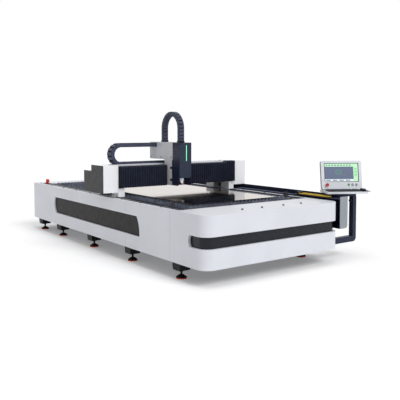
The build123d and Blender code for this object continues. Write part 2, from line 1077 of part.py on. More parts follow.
def gear(teeth, width):
    """A straight toothed gear about Z, standing on Z 0."""
    tip = gear_module * (teeth / 2 + 1)
    root = gear_module * (teeth / 2 - gear_root_depth)
    points = []
    for tooth in range(teeth):
        for step, radius in zip(tooth_steps, (root, root, tip, tip)):
            angle = 2 * math.pi * (tooth + step) / teeth
            points.append((radius * math.cos(angle), radius * math.sin(angle)))
    return extrude(make_face(Polyline(points, close=True)), width)


def pinion_axis():
    """How far the pinion's axis stands from the bed's middle."""
    rack_face = guide_x + rail_width / 2 + rack_gap + rack_width
    return rack_face + mesh_gap + gear_module * (gear_teeth + 2) / 2


def y_pinion():
    """The gear that runs on the rack, with its shaft up into the gearbox."""
    low = rail_seat + gear_lift
    wheel = Pos(0, 0, low) * gear(gear_teeth, gear_width)
    shaft = rod(0, 0, low + gear_width, gearbox_bottom + shaft_entry, gear_shaft)
    return Pos(pinion_axis(), drive_y, 0) * (wheel + shaft)


def y_drives():
    """Gearbox and motor on each side, hung under the foot's bridge."""
    bridge_low = foot_top - foot_bridge
    box = span(
        pinion_axis() - gearbox_inner_reach,
        pinion_axis() + gearbox_outer_reach,
        drive_y - gearbox_half_length,
        drive_y + gearbox_half_length,
        gearbox_bottom,
        bridge_low,
    )
    bore_top = gearbox_bottom + shaft_entry + 1
    box -= rod(pinion_axis(), drive_y, gearbox_bottom - 1, bore_top, gear_shaft + shaft_clearance)
    half = motor_size / 2
    motor_x = pinion_axis() + motor_reach
    motor = span(motor_x - half, motor_x + half, drive_y - half, drive_y + half, bridge_low, motor_top)
    motor += rod(motor_x, drive_y, motor_top, motor_top + encoder_height, encoder_radius)
    drive = box + motor
    return [drive, mirrored(drive)]


def x_guide_rails():
    """Two rails and a rack on the front of the beam."""
    reach = beam_end - end_flange - x_rail_end_gap
    low = beam_front - x_rail_depth
    bars = []
    for z in (x_rail_low, x_rail_high):
        bars.append(span(-reach, reach, low, beam_front, z - x_rail_width / 2, z + x_rail_width / 2))
    bars.append(span(-reach, reach, low, beam_front, x_rack_bottom, x_rack_bottom + x_rack_height))
    return bars


def beam_top_cover():
    """The light sheet on the beam: a ridge in front, a flat bed for the X chain and a rear lip."""
    reach = beam_end - end_flange
    sheet = top_cover_sheet
    ridge_rear = x_chain_y - chain_bed_gap
    cover = span(-reach, reach, beam_front, ridge_rear, beam_top, top_cover_top)
    cover -= span(-reach, reach, beam_front + sheet, ridge_rear - sheet, beam_top, top_cover_top - sheet)
    cover += span(-reach, reach, ridge_rear - sheet, beam_rear, beam_top, beam_top + sheet)
    return cover + span(-reach, reach, beam_rear - sheet, beam_rear, beam_top, top_cover_top)


def pleated_plan(x0, folds, step):
    """The plan of a run of folds with a thin flat back."""
    valley = bellows_front + bellows_fold
    back = valley + bellows_wall
    points = [(x0, back), (x0, valley)]
    for fold in range(folds):
        points.append((x0 + (fold + 0.5) * step, bellows_front))
        points.append((x0 + (fold + 1) * step, valley))
    points.append((x0 + folds * step, back))
    return make_face(Polyline(points, close=True))


def bellows(x0, x1, raised_folds):
    """A pleated shield in front of the beam between two X places, with raised folds at its right end."""
    folds = round((x1 - x0) / pleat_pitch)
    step = (x1 - x0) / folds
    back = bellows_front + bellows_fold + bellows_wall
    height = bellows_top - bellows_bottom
    shield = extrude(pleated_plan(x0, folds, step), height)
    if raised_folds:
        cap_start = x1 - raised_folds * step
        shield += extrude(pleated_plan(cap_start, raised_folds, step), height + collar_rise)
    shield = Pos(0, 0, bellows_bottom) * shield
    shield += span(x0, x1, back, bellows_rear, bellows_bottom, bellows_bottom + bellows_wall)
    shield += span(x0, x1, back, bellows_rear, bellows_top - bellows_wall, bellows_top)
    if raised_folds:
        shield += span(cap_start, x1, back, bellows_rear, bellows_top, bellows_top + collar_rise)
    return shield


def bellows_left():
    """The shield between the left flange and the carriage."""
    return bellows(end_flange - beam_end + bellows_seat, carriage_left - bellows_seat, 0)


def bellows_right():
    """The shield between the carriage and the right flange."""
    return bellows(carriage_right + bellows_seat, beam_end - end_flange - bellows_seat, collar_folds)


def x_chain():
    """The chain on the beam that bends over to the carriage's cover."""
    face = hairpin(
        x_chain_fixed - x_chain_bend,
        x_chain_radius,
        carriage_left - chain_seat - x_chain_bend,
        x_chain_thickness,
        x_chain_pitch,
    )
    low = beam_top + top_cover_sheet + chain_seat
    centre = low + x_chain_thickness / 2 + x_chain_radius
    start_y = x_chain_y + x_chain_width
    plane = Plane(origin=(x_chain_bend, start_y, centre), x_dir=(1, 0, 0), z_dir=(0, -1, 0))
    return extrude(plane * face, x_chain_width)


def carriage_middle():
    """The X place of the carriage's middle plane."""
    return (carriage_left + carriage_right) / 2


def screw_y():
    """The Y place of the Z screw, just in front of the carriage's front plate."""
    return carriage_front - screw_gap - screw_radius


def x_pinion_z():
    """The height of the X pinion's axis under its rack."""
    return x_rack_bottom - mesh_gap - gear_module * (gear_teeth + 2) / 2


def carriage_frame():
    """The welded carriage: back, sides, front and shelf, with its X blocks and Z rails."""
    left = carriage_left
    right = carriage_right
    shelf = carriage_shelf
    plate = carriage_plate
    middle = carriage_middle()
    frame = span(left, right, carriage_back - plate, carriage_back, carriage_low, shelf)
    frame += span(left, left + carriage_side, carriage_front, carriage_back, carriage_low, shelf)
    frame += span(right - carriage_side, right, carriage_front, carriage_back, carriage_low, shelf)
    frame += span(left, right, carriage_front, carriage_front + plate, carriage_low, shelf)
    shelf_top = shelf + carriage_shelf_thickness
    frame += span(left, right, carriage_front, carriage_shelf_rear, shelf, shelf_top)
    ear_front_y = screw_y() - belt_case_front
    frame += span(
        middle - belt_case_half, middle + belt_case_half, ear_front_y, carriage_front, shelf, shelf_top
    )
    frame -= rod(middle, screw_y(), shelf - 1, shelf_top + 1, screw_radius + block_clearance)
    shaft_hole = Pos(middle, carriage_back, x_pinion_z()) * Rot(90, 0, 0)
    frame -= shaft_hole * Cylinder(gear_shaft + block_clearance, 3 * plate)
    rail_face = beam_front - x_rail_depth
    for z in (x_rail_low, x_rail_high):
        low = z - x_block_width / 2
        block = span(left, right, carriage_back, beam_front - x_block_gap, low, low + x_block_width)
        block -= span(
            left - 1,
            right + 1,
            rail_face - block_clearance,
            beam_front,
            z - x_rail_width / 2 - block_clearance,
            z + x_rail_width / 2 + block_clearance,
        )
        frame += block
    for offset in (-z_rail_offset, z_rail_offset):
        x = middle + offset
        frame += span(
            x - z_rail_width / 2,
            x + z_rail_width / 2,
            carriage_front - z_rail_depth,
            carriage_front,
            z_rail_bottom,
            shelf - z_rail_top_gap,
        )
    return frame


def x_drive():
    """X motor and gearbox inside the carriage, with the pinion behind its back plate."""
    middle = carriage_middle()
    z = x_pinion_z()
    face = carriage_back - carriage_plate
    box_end = face - x_gearbox_size
    box_half = x_gearbox_size / 2
    motor_end = carriage_front + carriage_plate + x_motor_gap
    half = motor_size / 2
    drive = span(middle - box_half, middle + box_half, box_end, face, z - box_half, z + box_half)
    drive += span(middle - half, middle + half, motor_end, box_end, z - half, z + half)
    wheel_end = beam_front - x_block_gap
    shaft = Pos(middle, (face + wheel_end) / 2, z) * Rot(90, 0, 0)
    drive += shaft * Cylinder(gear_shaft, wheel_end - face)
    wheel = Pos(middle, wheel_end, z) * Rot(90, 0, 0) * gear(gear_teeth, gear_width)
    return drive + wheel


def carriage_cover():
    """The light box over the carriage, with a gap in front for the belt case."""
    low = carriage_shelf + carriage_shelf_thickness
    sheet = carriage_cover_sheet
    middle = carriage_middle()
    cover = span(
        carriage_left, carriage_right, carriage_front, carriage_shelf_rear, low, carriage_cover_top
    )
    cover -= span(
        carriage_left + sheet,
        carriage_right - sheet,
        carriage_front + sheet,
        carriage_shelf_rear - sheet,
        low - 1,
        carriage_cover_top - sheet,
    )
    case_gap = belt_case_half + 2
    return cover - span(
        middle - case_gap,
        middle + case_gap,
        carriage_front - 1,
        carriage_front + sheet + 1,
        low - 1,
        low + belt_case_height + 2,
    )


def carriage_knobs():
    """Two black clamping knobs on the carriage's left side."""
    return [
        Pos(carriage_left - knob_length / 2, knob_y, z)
        * Rot(0, 90, 0)
        * Cylinder(knob_radius, knob_length)
        for z in knob_heights
    ]


def z_guards():
    """Dark side sheets on the carriage that flank the head."""
    lap = carriage_front + guard_lap
    reach = head_rear - guard_reach
    points = [
        (lap, guard_bottom),
        (reach + guard_cut, guard_bottom),
        (reach, guard_bottom + guard_cut_height),
        (reach, carriage_shelf),
        (lap, carriage_shelf),
    ]
    left = extrude(side_outline(points, carriage_left - guard_sheet), guard_sheet)
    right = extrude(side_outline(points, carriage_right), guard_sheet)
    return [left, right]


def z_drive():
    """Z motor, belt case and the screw that hangs from it."""
    middle = carriage_middle()
    low = carriage_shelf + carriage_shelf_thickness
    half = z_motor_size / 2
    motor_y = screw_y() + z_motor_back
    case = span(
        middle - belt_case_half,
        middle + belt_case_half,
        screw_y() - belt_case_front,
        motor_y + half,
        low,
        low + belt_case_height,
    )
    top = low + belt_case_height
    motor = span(
        middle - half, middle + half, motor_y - half, motor_y + half, top, top + z_motor_height
    )
    return case + motor + rod(middle, screw_y(), screw_bottom, low, screw_radius)


def z_chain():
    """The upright loop of chain from the carriage's cover to the head's cover."""
    radius = (z_chain_rear - z_chain_front) / 2
    centre = z_chain_apex - radius - z_chain_thickness / 2
    face = hairpin(
        centre - head_cover_top - chain_seat,
        radius,
        centre - carriage_cover_top - chain_seat,
        z_chain_thickness,
        z_chain_pitch,
    )
    plane = Plane(
        origin=(carriage_middle() - z_chain_width / 2, z_chain_front + radius, centre),
        x_dir=(0, 0, -1),
        z_dir=(1, 0, 0),
    )
    return extrude(plane * face, z_chain_width)


def z_slide():
    """The head's plate with blocks round the Z rails and the screw's nut."""
    middle = carriage_middle()
    rail_face = carriage_front - z_rail_depth
    rear = rail_face - z_block_depth
    left = carriage_left + head_side_gap + head_sheet
    right = carriage_right - head_side_gap - head_sheet
    slide = span(left, right, rear - z_slide_thickness, rear, z_slide_bottom, z_slide_top)
    for offset in (-z_rail_offset, z_rail_offset):
        x = middle + offset
        for low in (z_slide_bottom + z_block_margin, z_slide_top - z_block_margin - z_block_length):
            block = span(
                x - z_block_width / 2,
                x + z_block_width / 2,
                rear,
                carriage_front - z_block_gap,
                low,
                low + z_block_length,
            )
            block -= span(
                x - z_rail_width / 2 - block_clearance,
                x + z_rail_width / 2 + block_clearance,
                rail_face - block_clearance,
                carriage_front,
                low - 1,
                low + z_block_length + 1,
            )
            slide += block
    nut_low = (z_slide_bottom + z_slide_top - nut_block_height) / 2
    nut_high = nut_low + nut_block_height
    nut = span(
        middle - 2 * screw_radius,
        middle + 2 * screw_radius,
        rear,
        carriage_front - nut_gap,
        nut_low,
        nut_high,
    )
    slide += nut
    return slide - rod(middle, screw_y(), nut_low - 1, nut_high + 1, screw_radius + block_clearance)


def head_cover():
    """The dark cover over the head, open behind and below."""
    left = carriage_left + head_side_gap
    right = carriage_right - head_side_gap
    cover = span(left, right, head_front, head_rear, head_cover_bottom, head_cover_top)
    return cover - span(
        left + head_sheet,
        right - head_sheet,
        head_front + head_sheet,
        head_rear + 1,
        head_cover_bottom - 1,
        head_cover_top - head_sheet,
    )


def light_strip():
    """The upright green light on the head's cover."""
    half = light_width / 2
    light_x = carriage_middle() + light_offset
    return span(light_x - half, light_x + half, head_front - light_proud, head_front, light_bottom, light_top)


def cutting_head_y():
    """The Y place of the laser head's axis."""
    slide_front = carriage_front - z_rail_depth - z_block_depth - z_slide_thickness
    return slide_front - head_body_depth / 2


def cutting_head():
    """Optics body with the fibre plug above and the barrel below."""
    middle = carriage_middle()
    y = cutting_head_y()
    half = head_body_width / 2
    front = y - head_body_depth / 2
    rear = y + head_body_depth / 2
    body = span(middle - half, middle + half, front, rear, head_body_bottom, head_body_top)
    body += rod(middle, y, head_body_top, fibre_plug_top, fibre_plug_radius)
    return body + rod(middle, y, nozzle_top, head_body_bottom, barrel_radius)


def nozzle():
    """Sensor body, ceramic ring and nozzle cone, turned in one outline."""
    length = nozzle_top - nozzle_tip
    taper_end = sensor_length + taper_length
    outline = Polyline(
        (0, 0),
        (nozzle_radius, 0),
        (nozzle_radius, -sensor_length),
        (nozzle_neck, -taper_end),
        (nozzle_neck, -taper_end - neck_length),
        (nozzle_tip_radius, -length),
        (0, -length),
        close=True,
    )
    turned = revolve(Plane.XZ * make_face(outline), Axis.Z)
    return Pos(carriage_middle(), cutting_head_y(), nozzle_top) * turned


def console_post():
    """The C-arm's lower arm and post, with a bored head for the spindle."""
    half = post_size / 2
    left = post_centre_x - half
    right = post_centre_x + half
    arm_top = arm_low + arm_height
    start = half_width + arm_flange_thickness
    bottom = Line((start, arm_low), (right - elbow_radius, arm_low))
    elbow = RadiusArc((right - elbow_radius, arm_low), (right, arm_low + elbow_radius), -elbow_radius)
    outer = Line((right, arm_low + elbow_radius), (right, post_top))
    inner = Polyline((right, post_top), (left, post_top), (left, arm_top), (start, arm_top), (start, arm_low))
    face = Plane.XZ * make_face(bottom + elbow + outer + inner)
    post = Pos(0, post_centre_y + half, 0) * extrude(face, post_size)
    bore_low = post_top - spindle_length
    post -= span(
        left + tube_wall,
        right - tube_wall,
        post_centre_y - half + tube_wall,
        post_centre_y + half - tube_wall,
        arm_low + elbow_radius,
        bore_low,
    )
    post -= rod(post_centre_x, post_centre_y, bore_low - 1, post_top + 1, spindle_radius + shaft_clearance)
    stem = Pos(left, post_centre_y, clamp_height) * Rot(0, 90, 0)
    stem_bore = 2 * (post_size / 2 - spindle_radius + 1)
    post -= stem * Cylinder(clamp_stem + shaft_clearance, stem_bore)
    flange_low = bed_bottom + arm_flange_lift
    flange = span(
        half_width,
        start,
        post_centre_y - arm_flange_size / 2,
        post_centre_y + arm_flange_size / 2,
        flange_low,
        flange_low + arm_flange_size,
    )
    return post + flange


def clamp_knob():
    """The knob whose stem presses on the spindle."""
    left = post_centre_x - post_size / 2
    tip = post_centre_x - spindle_radius - clamp_tip_gap
    knob = Pos(left - clamp_gap - clamp_length / 2, post_centre_y, clamp_height) * Rot(0, 90, 0)
    stem_length = tip - left + 2 * clamp_gap
    stem = Pos(tip - stem_length / 2, post_centre_y, clamp_height) * Rot(0, 90, 0)
    lobes = knob * extrude(RegularPolygon(clamp_radius, clamp_sides), clamp_length / 2, both=True)
    return lobes + stem * Cylinder(clamp_stem, stem_length)


def tray_low():
    """The underside of the keyboard tray."""
    return post_top + upper_arm_gap + upper_arm_height


def swung(shape):
    """A piece of the console turned about the post to face the operator."""
    post_place = Pos(post_centre_x, post_centre_y, 0)
    return post_place * Rot(0, 0, -console_turn) * post_place.inverse() * shape


def upper_arm():
    """The short upper arm with the spindle that turns in the post."""
    half = post_size / 2
    right = post_centre_x + half
    low = post_top + upper_arm_gap
    arm = span(upper_arm_left, right, post_centre_y - half, post_centre_y + half, low, tray_low())
    spindle_low = post_top - spindle_length + 1
    return arm + rod(post_centre_x, post_centre_y, spindle_low, low, spindle_radius)


def keyboard_tray():
    """The light tray in front of the console, with rounded front corners."""
    right = console_left + console_width
    tray = span(console_left, right, tray_front_y, tray_rear_y, tray_low(), tray_low() + tray_sheet)
    corners = tray.edges().filter_by(Axis.Z).group_by(Axis.Y)[0]
    return fillet(corners, console_corner)


def console_place():
    """Where the console's lower front edge stands, leaning back."""
    x = console_left + console_width / 2
    z = tray_low() + tray_sheet + console_lift
    return Pos(x, console_foot_y, z) * Rot(-console_tilt, 0, 0)


def console_outline(inset):
    """The rounded front outline of the console, standing up from its lower edge."""
    width = console_width - 2 * inset
    height = console_height - 2 * inset
    face = RectangleRounded(width, height, console_corner - inset / 2)
    return Plane.XZ * (Pos(0, console_height / 2) * face)


def control_places():
    """The X place, hole radius and kind of each control, from the console's middle."""
    left = -console_width / 2
    places = [(left + stop_offset, stop_stem_radius)]
    places += [(left + offset, button_radius) for offset in button_offsets]
    return places + [(left + key_offset, key_radius)]


def screen_middle():
    """The height of the screen's middle above the console's lower edge."""
    return console_height - screen_margin - screen_height / 2


def console_bezel():
    """The light front frame with the screen window and the control holes."""
    bezel = Pos(0, bezel_depth, 0) * extrude(console_outline(0), bezel_depth)
    window = Pos(0, bezel_depth / 2, screen_middle()) * Box(screen_width, bezel_depth + 2, screen_height)
    bezel -= window
    places = control_places()
    collar_x = places[0][0]
    ring = Pos(collar_x, -collar / 2, control_height) * Rot(90, 0, 0)
    bezel += ring * Cylinder(stop_button_radius + collar_rim, collar)
    for x, radius in places:
        hole = Pos(x, 0, control_height) * Rot(90, 0, 0)
        bezel -= hole * Cylinder(radius + button_fit, 3 * bezel_depth)
    return console_place() * bezel


def console_shell():
    """The dark rear housing, tapered to the back, on a short foot."""
    middle = Pos(0, shell_straight, 0) * console_outline(0)
    rear = Pos(0, console_depth, 0) * console_outline(console_corner)
    shell = extrude(middle, shell_straight - bezel_depth)
    shell += loft([middle, rear])
    shell = console_place() * shell
    x = console_left + console_width / 2
    tray_up = tray_low() + tray_sheet
    foot_front = console_foot_y + console_foot_set
    foot_rear = tray_rear_y - console_foot_gap
    half = console_foot_half
    return shell + span(x - half, x + half, foot_front, foot_rear, tray_up, tray_up + 2 * console_lift)


def screen():
    """The display glass at the bottom of the window."""
    thickness = bezel_depth - screen_sink
    y = screen_sink + thickness / 2
    return console_place() * Pos(0, y, screen_middle()) * Box(screen_width, thickness, screen_height)


def control(x, y0, y1, radius):
    """A round bar of a control along the console's depth."""
    return Pos(x, (y0 + y1) / 2, control_height) * Rot(90, 0, 0) * Cylinder(radius, y1 - y0)


def stop_button():
    """The red mushroom of the emergency stop."""
    x, stem = control_places()[0]
    rest = collar + stop_button_travel + button_gap
    head = control(x, -rest - stop_head_length, -rest, stop_button_radius)
    stem_end = bezel_depth - stop_button_travel - button_room
    return console_place() * (head + control(x, -rest, stem_end, stem))


def push_button(index):
    """A round push button."""
    x, radius = control_places()[1 + index]
    end = bezel_depth - button_travel - button_room
    return console_place() * control(x, -button_travel - button_rise, end, radius)


def key_switch():
    """The turning lock barrel with its key."""
    x, radius = control_places()[-1]
    barrel = control(x, -key_rise, bezel_depth - button_room, radius)
    bow_height = 2 * (radius - key_bow_inset)
    bow = Pos(x, -key_rise - key_length / 2, control_height) * Box(key_thickness, key_length, bow_height)
    return console_place() * (barrel + bow)


def keyboard():
    """The keyboard with its rows of keys as raised bars."""
    low = tray_low() + tray_sheet
    x1 = keyboard_left + keyboard_width
    y1 = keyboard_front_y + keyboard_depth
    top = low + keyboard_height
    board = span(keyboard_left, x1, keyboard_front_y, y1, low, top)
    pitch = (keyboard_depth - 2 * key_margin) / key_rows
    for row in range(key_rows):
        front = keyboard_front_y + key_margin + row * pitch + key_gap / 2
        rear = front + pitch - key_gap
        board += span(keyboard_left + key_margin, x1 - key_margin, front, rear, top, top + key_height)
    return board


def mouse_pad():
    """The thin pad under the mouse, past the tray's right end."""
    low = tray_low() + tray_sheet
    right = console_left + console_width + pad_overhang
    front = mouse_y - pad_length / 2
    return span(right - pad_width, right, front, front + pad_length, low, low + pad_thickness)


def mouse():
    """A plain computer mouse."""
    low = tray_low() + tray_sheet + pad_thickness
    body = Pos(mouse_x, mouse_y, low + mouse_height / 2) * Box(mouse_width, mouse_length, mouse_height)
    rounded = fillet(body.edges().filter_by(Axis.Z), mouse_corner)
    return chamfer(rounded.faces().sort_by(Axis.Z)[-1].edges(), mouse_crown)


nodes = {
    "bed_frame": bed_frame(),
    "front_apron": front_apron(),
    "front_stripe": front_stripe(),
    "left_side_panel": left_side_panel(),
    "left_ear_panel": left_ear_panel(),
    "right_side_panel": right_side_panel(),
    "rear_panel": rear_panel(),
    "extraction_spigot": extraction_spigot(),
    "deck_covers": deck_covers(),
    "slat_combs": slat_combs(),
    "slats": slats(),
    "slag_trays": slag_trays(),
    "steel_sheet": steel_sheet(),
    "foot_brackets": foot_brackets(),
    "levelling_feet": levelling_feet(),
    "foot_rubbers": foot_rubbers(),
    "y_guide_rails": y_guide_rails(),
    "end_stops": end_stops(),
    "chain_trough": chain_trough(),
    "trough_end_plate": trough_end_plate(),
    "y_chain": y_chain(),
    "fibre_cable": fibre_cable(),
    "console_post": console_post(),
    "gantry_beam": gantry_beam(),
    "gantry_feet": gantry_feet(),
    "y_guide_blocks": y_guide_blocks(),
    "end_cover_left": mirrored(end_cover()),
    "end_cover_right": end_cover(),
    "y_drives": y_drives(),
    "x_guide_rails": x_guide_rails(),
    "beam_top_cover": beam_top_cover(),
    "bellows_left": bellows_left(),
    "bellows_right": bellows_right(),
    "x_chain": x_chain(),
    "y_pinion_left": mirrored(y_pinion()),
    "y_pinion_right": y_pinion(),
    "carriage_frame": carriage_frame(),
    "carriage_cover": carriage_cover(),
    "carriage_knobs": carriage_knobs(),
    "x_drive": x_drive(),
    "z_guards": z_guards(),
    "z_drive": z_drive(),
    "z_chain": z_chain(),
    "z_slide": z_slide(),
    "head_cover": head_cover(),
    "light_strip": light_strip(),
    "cutting_head": cutting_head(),
    "nozzle": nozzle(),
    "upper_arm": swung(upper_arm()),
    "keyboard_tray": swung(keyboard_tray()),
    "console_shell": swung(console_shell()),
    "console_bezel": swung(console_bezel()),
    "screen": swung(screen()),
    "keyboard": swung(keyboard()),
    "mouse": [swung(mouse()), swung(mouse_pad())],
    "stop_button": swung(stop_button()),
    "push_button_left": swung(push_button(0)),
    "push_button_right": swung(push_button(1)),
    "key_switch": swung(key_switch()),
    "clamp_knob": clamp_knob(),
}


def as_one(pieces, place):
    """One shape from a single piece or a group of separate pieces, moved to a place."""
    if not isinstance(pieces, list):
        return place * pieces
    return Compound(children=[place * solid for piece in pieces for solid in piece.solids()])


bed_centre = Pos(0, 0, 0)
boxes = [as_one(pieces, bed_centre).bounding_box() for pieces in nodes.values()]
plan_x = (min(box.min.X for box in boxes) + max(box.max.X for box in boxes)) / 2
plan_y = (min(box.min.Y for box in boxes) + max(box.max.Y for box in boxes)) / 2
to_plan_centre = Pos(-plan_x, -plan_y, 0)

for name, pieces in nodes.items():
    export_step(as_one(pieces, to_plan_centre), f"parts/{name}.step")

print(len(nodes), "nodes, plan centre", round(plan_x, 2), round(plan_y, 2))
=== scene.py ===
# %% [markdown]
# # A fiber laser cutting machine with an open slat bed
# The machine is a long white casing with a table of toothed slats. A gantry runs along it on two rails,
# a carriage runs across the gantry, and the cutting head goes up and down on the carriage.
# The construction comes packed from the CAD model as a fixed frame. This script gives each sheet, casting
# and plastic part its finish, and models the small things that the construction leaves out.

# %% Load the frame
import json
import math

import bmesh
import bpy
from mathutils import Matrix, Vector


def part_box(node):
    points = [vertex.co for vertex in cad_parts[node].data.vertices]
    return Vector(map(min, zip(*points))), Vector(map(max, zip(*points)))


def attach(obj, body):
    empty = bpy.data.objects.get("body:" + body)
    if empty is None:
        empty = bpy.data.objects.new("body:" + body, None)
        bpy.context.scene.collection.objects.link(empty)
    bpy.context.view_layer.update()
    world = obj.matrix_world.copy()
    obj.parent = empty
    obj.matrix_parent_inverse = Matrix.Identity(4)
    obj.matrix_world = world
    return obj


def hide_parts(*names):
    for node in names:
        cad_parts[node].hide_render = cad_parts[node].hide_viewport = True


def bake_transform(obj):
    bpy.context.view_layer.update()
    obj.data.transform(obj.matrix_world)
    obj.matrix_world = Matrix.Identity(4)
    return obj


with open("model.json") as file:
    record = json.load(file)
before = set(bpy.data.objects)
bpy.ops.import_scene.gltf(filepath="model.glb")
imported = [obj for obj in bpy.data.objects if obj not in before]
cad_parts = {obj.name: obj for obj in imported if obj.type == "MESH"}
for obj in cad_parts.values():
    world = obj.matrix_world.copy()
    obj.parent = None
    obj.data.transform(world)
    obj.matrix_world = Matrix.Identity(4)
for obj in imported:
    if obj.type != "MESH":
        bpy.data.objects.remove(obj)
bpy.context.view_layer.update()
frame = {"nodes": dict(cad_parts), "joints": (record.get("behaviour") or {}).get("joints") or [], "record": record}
nodes = frame["nodes"]
deck_low, deck_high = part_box("deck_covers")
bed_middle = Vector(((deck_low.x + deck_high.x) / 2, (deck_low.y + deck_high.y) / 2, 0))

# %% [markdown]
# ## The camera
# The photograph looks along the machine's left side from about eye level, some eight metres from its
# middle. A lens near 53 mm gives the mild convergence of its long edges. The upright edges stay nearly
# upright in the photograph, so the camera tilts only a little and the picture is shifted instead.

# %% Camera
camera_from_bed = Vector((-4.380, -6.864, 1.579))
camera_turn = math.radians(36.14)
camera_tilt = math.radians(-3.17)
camera_lens = 52.58
sensor_width = 36
frame_shift = -0.094

camera_data = bpy.data.cameras.new("camera")
camera_data.lens = camera_lens
camera_data.sensor_width = sensor_width
camera_data.shift_y = frame_shift
camera_data.clip_end = 200
camera = bpy.data.objects.new("camera", camera_data)
camera.location = bed_middle + camera_from_bed
camera.rotation_euler = (math.pi / 2 + camera_tilt, 0, -camera_turn)
bpy.context.scene.collection.objects.link(camera)
bpy.context.scene.camera = camera
print("camera looks down by", round(-math.degrees(camera_tilt), 2), "degrees")

# %% [markdown]
# ## Floor and light
# The photograph is a cut-out on white, with a bright front and evenly lit sides. A large soft sun stands in
# front and above, a weaker one stands overhead, and the sky lights the rest evenly.
# The sky is white to the camera and in mirrors. The floor adds just enough light of its own, for the
# camera and mirrors alone, to meet that white, and it still takes the shadow.

# %% Sky and suns
sky_strength = 0.47
sun_softness = math.radians(30)
key_strength = 1.42
key_direction = (-0.1, 0.8, -0.75)
top_strength = 0.5
top_direction = (0.05, 0.1, -1)


def light_path_share(tree, *outputs):
    """One where the ray is of any of the named kinds, and zero elsewhere."""
    path = tree.nodes.new("ShaderNodeLightPath")
    share = path.outputs[outputs[0]]
    for name in outputs[1:]:
        either = tree.nodes.new("ShaderNodeMath")
        either.operation = "MAXIMUM"
        tree.links.new(share, either.inputs[0])
        tree.links.new(path.outputs[name], either.inputs[1])
        share = either.outputs[0]
    return share


def light_by_ray(tree, kind, plain, seen, *rays):
    """White light of one strength for most rays, and of another for the named kinds of ray."""
    mix = tree.nodes.new("ShaderNodeMixShader")
    tree.links.new(light_path_share(tree, *rays), mix.inputs[0])
    for entry, strength in ((1, plain), (2, seen)):
        light = tree.nodes.new(kind)
        light.inputs["Color"].default_value = (1, 1, 1, 1)
        light.inputs["Strength"].default_value = strength
        tree.links.new(light.outputs[0], mix.inputs[entry])
    return mix.outputs[0]


def white_background():
    """A sky that lights the object gently and looks white to the camera and in mirrors."""
    world = bpy.data.worlds.new("sky")
    bpy.context.scene.world = world
    world.use_nodes = True
    tree = world.node_tree
    tree.nodes.clear()
    output = tree.nodes.new("ShaderNodeOutputWorld")
    rays = ("Is Camera Ray", "Is Glossy Ray", "Is Transmission Ray")
    light = light_by_ray(tree, "ShaderNodeBackground", sky_strength, 1, *rays)
    tree.links.new(light, output.inputs["Surface"])


def sun(name, strength, direction):
    """A soft sun that shines along a direction."""
    data = bpy.data.lights.new(name, "SUN")
    data.energy = strength
    data.angle = sun_softness
    lamp = bpy.data.objects.new(name, data)
    lamp.rotation_euler = Vector(direction).to_track_quat("-Z", "Y").to_euler()
    bpy.context.scene.collection.objects.link(lamp)


white_background()
sun("key_sun", key_strength, key_direction)
sun("top_sun", top_strength, top_direction)
print("sky", sky_strength, "with two suns")

# %% Floor
floor_size = 60
floor_colour = (0.93, 0.93, 0.935)
floor_roughness = 0.9
floor_glow = 0.17


def pale_floor():
    """A plain floor that stays white in the picture except under the object."""
    mesh = bpy.data.meshes.new("floor")
    shape = bmesh.new()
    bmesh.ops.create_grid(shape, x_segments=1, y_segments=1, size=floor_size / 2)
    shape.to_mesh(mesh)
    shape.free()
    floor = bpy.data.objects.new("floor", mesh)
    bpy.context.scene.collection.objects.link(floor)
    paint = bpy.data.materials.new("pale_floor")
    paint.use_nodes = True
    tree = paint.node_tree
    surface = tree.nodes["Principled BSDF"]
    surface.inputs["Base Color"].default_value = (*floor_colour, 1)
    surface.inputs["Roughness"].default_value = floor_roughness
    surface.inputs["Specular IOR Level"].default_value = 0
    glow = light_by_ray(tree, "ShaderNodeEmission", 0, floor_glow, "Is Camera Ray", "Is Glossy Ray")
    both = tree.nodes.new("ShaderNodeAddShader")
    tree.links.new(surface.outputs[0], both.inputs[0])
    tree.links.new(glow, both.inputs[1])
    tree.links.new(both.outputs[0], tree.nodes["Material Output"].inputs["Surface"])
    mesh.materials.append(paint)


pale_floor()
bpy.context.scene.view_settings.view_transform = "Standard"
print("floor of", floor_size, "m")

# %% [markdown]
# ## Building finishes
# Every finish here is a Principled surface with a pattern on the object's own coordinates, in metres, so
# a scale of 300 means features of about three millimetres. Small helpers do the repeated work: one starts a
# finish, one lays a noise, and others turn a pattern into colour, gloss or relief. Two more let the colour
# change at a place.

# %% Helpers for finishes
finishes = {}
plain_specular = 0.5
dark_limit = 0.2
dark_specular = 0.18
pattern_low = 0.3
pattern_high = 0.7


def srgb(red, green, blue):
    """A colour given in picture levels from 0 to 255, as linear light."""
    return tuple(((level / 255 + 0.055) / 1.055) ** 2.4 for level in (red, green, blue))


def start_finish(name, colour, roughness, metallic=0.0):
    """A new finish with an even colour, ready for its pattern. Dark ones reflect less of the white room."""
    material = bpy.data.materials.new(name)
    material.use_nodes = True
    tree = material.node_tree
    surface = tree.nodes["Principled BSDF"]
    surface.inputs["Base Color"].default_value = (*colour, 1)
    surface.inputs["Roughness"].default_value = roughness
    surface.inputs["Metallic"].default_value = metallic
    specular = plain_specular if max(colour) > dark_limit else dark_specular
    surface.inputs["Specular IOR Level"].default_value = specular
    finishes[name] = material
    return tree, surface


def object_place(tree, stretch=(1, 1, 1)):
    """The place on the object, stretched along its axes."""
    place = tree.nodes.new("ShaderNodeTexCoord")
    mapping = tree.nodes.new("ShaderNodeMapping")
    mapping.inputs["Scale"].default_value = stretch
    tree.links.new(place.outputs["Object"], mapping.inputs["Vector"])
    return mapping.outputs["Vector"]


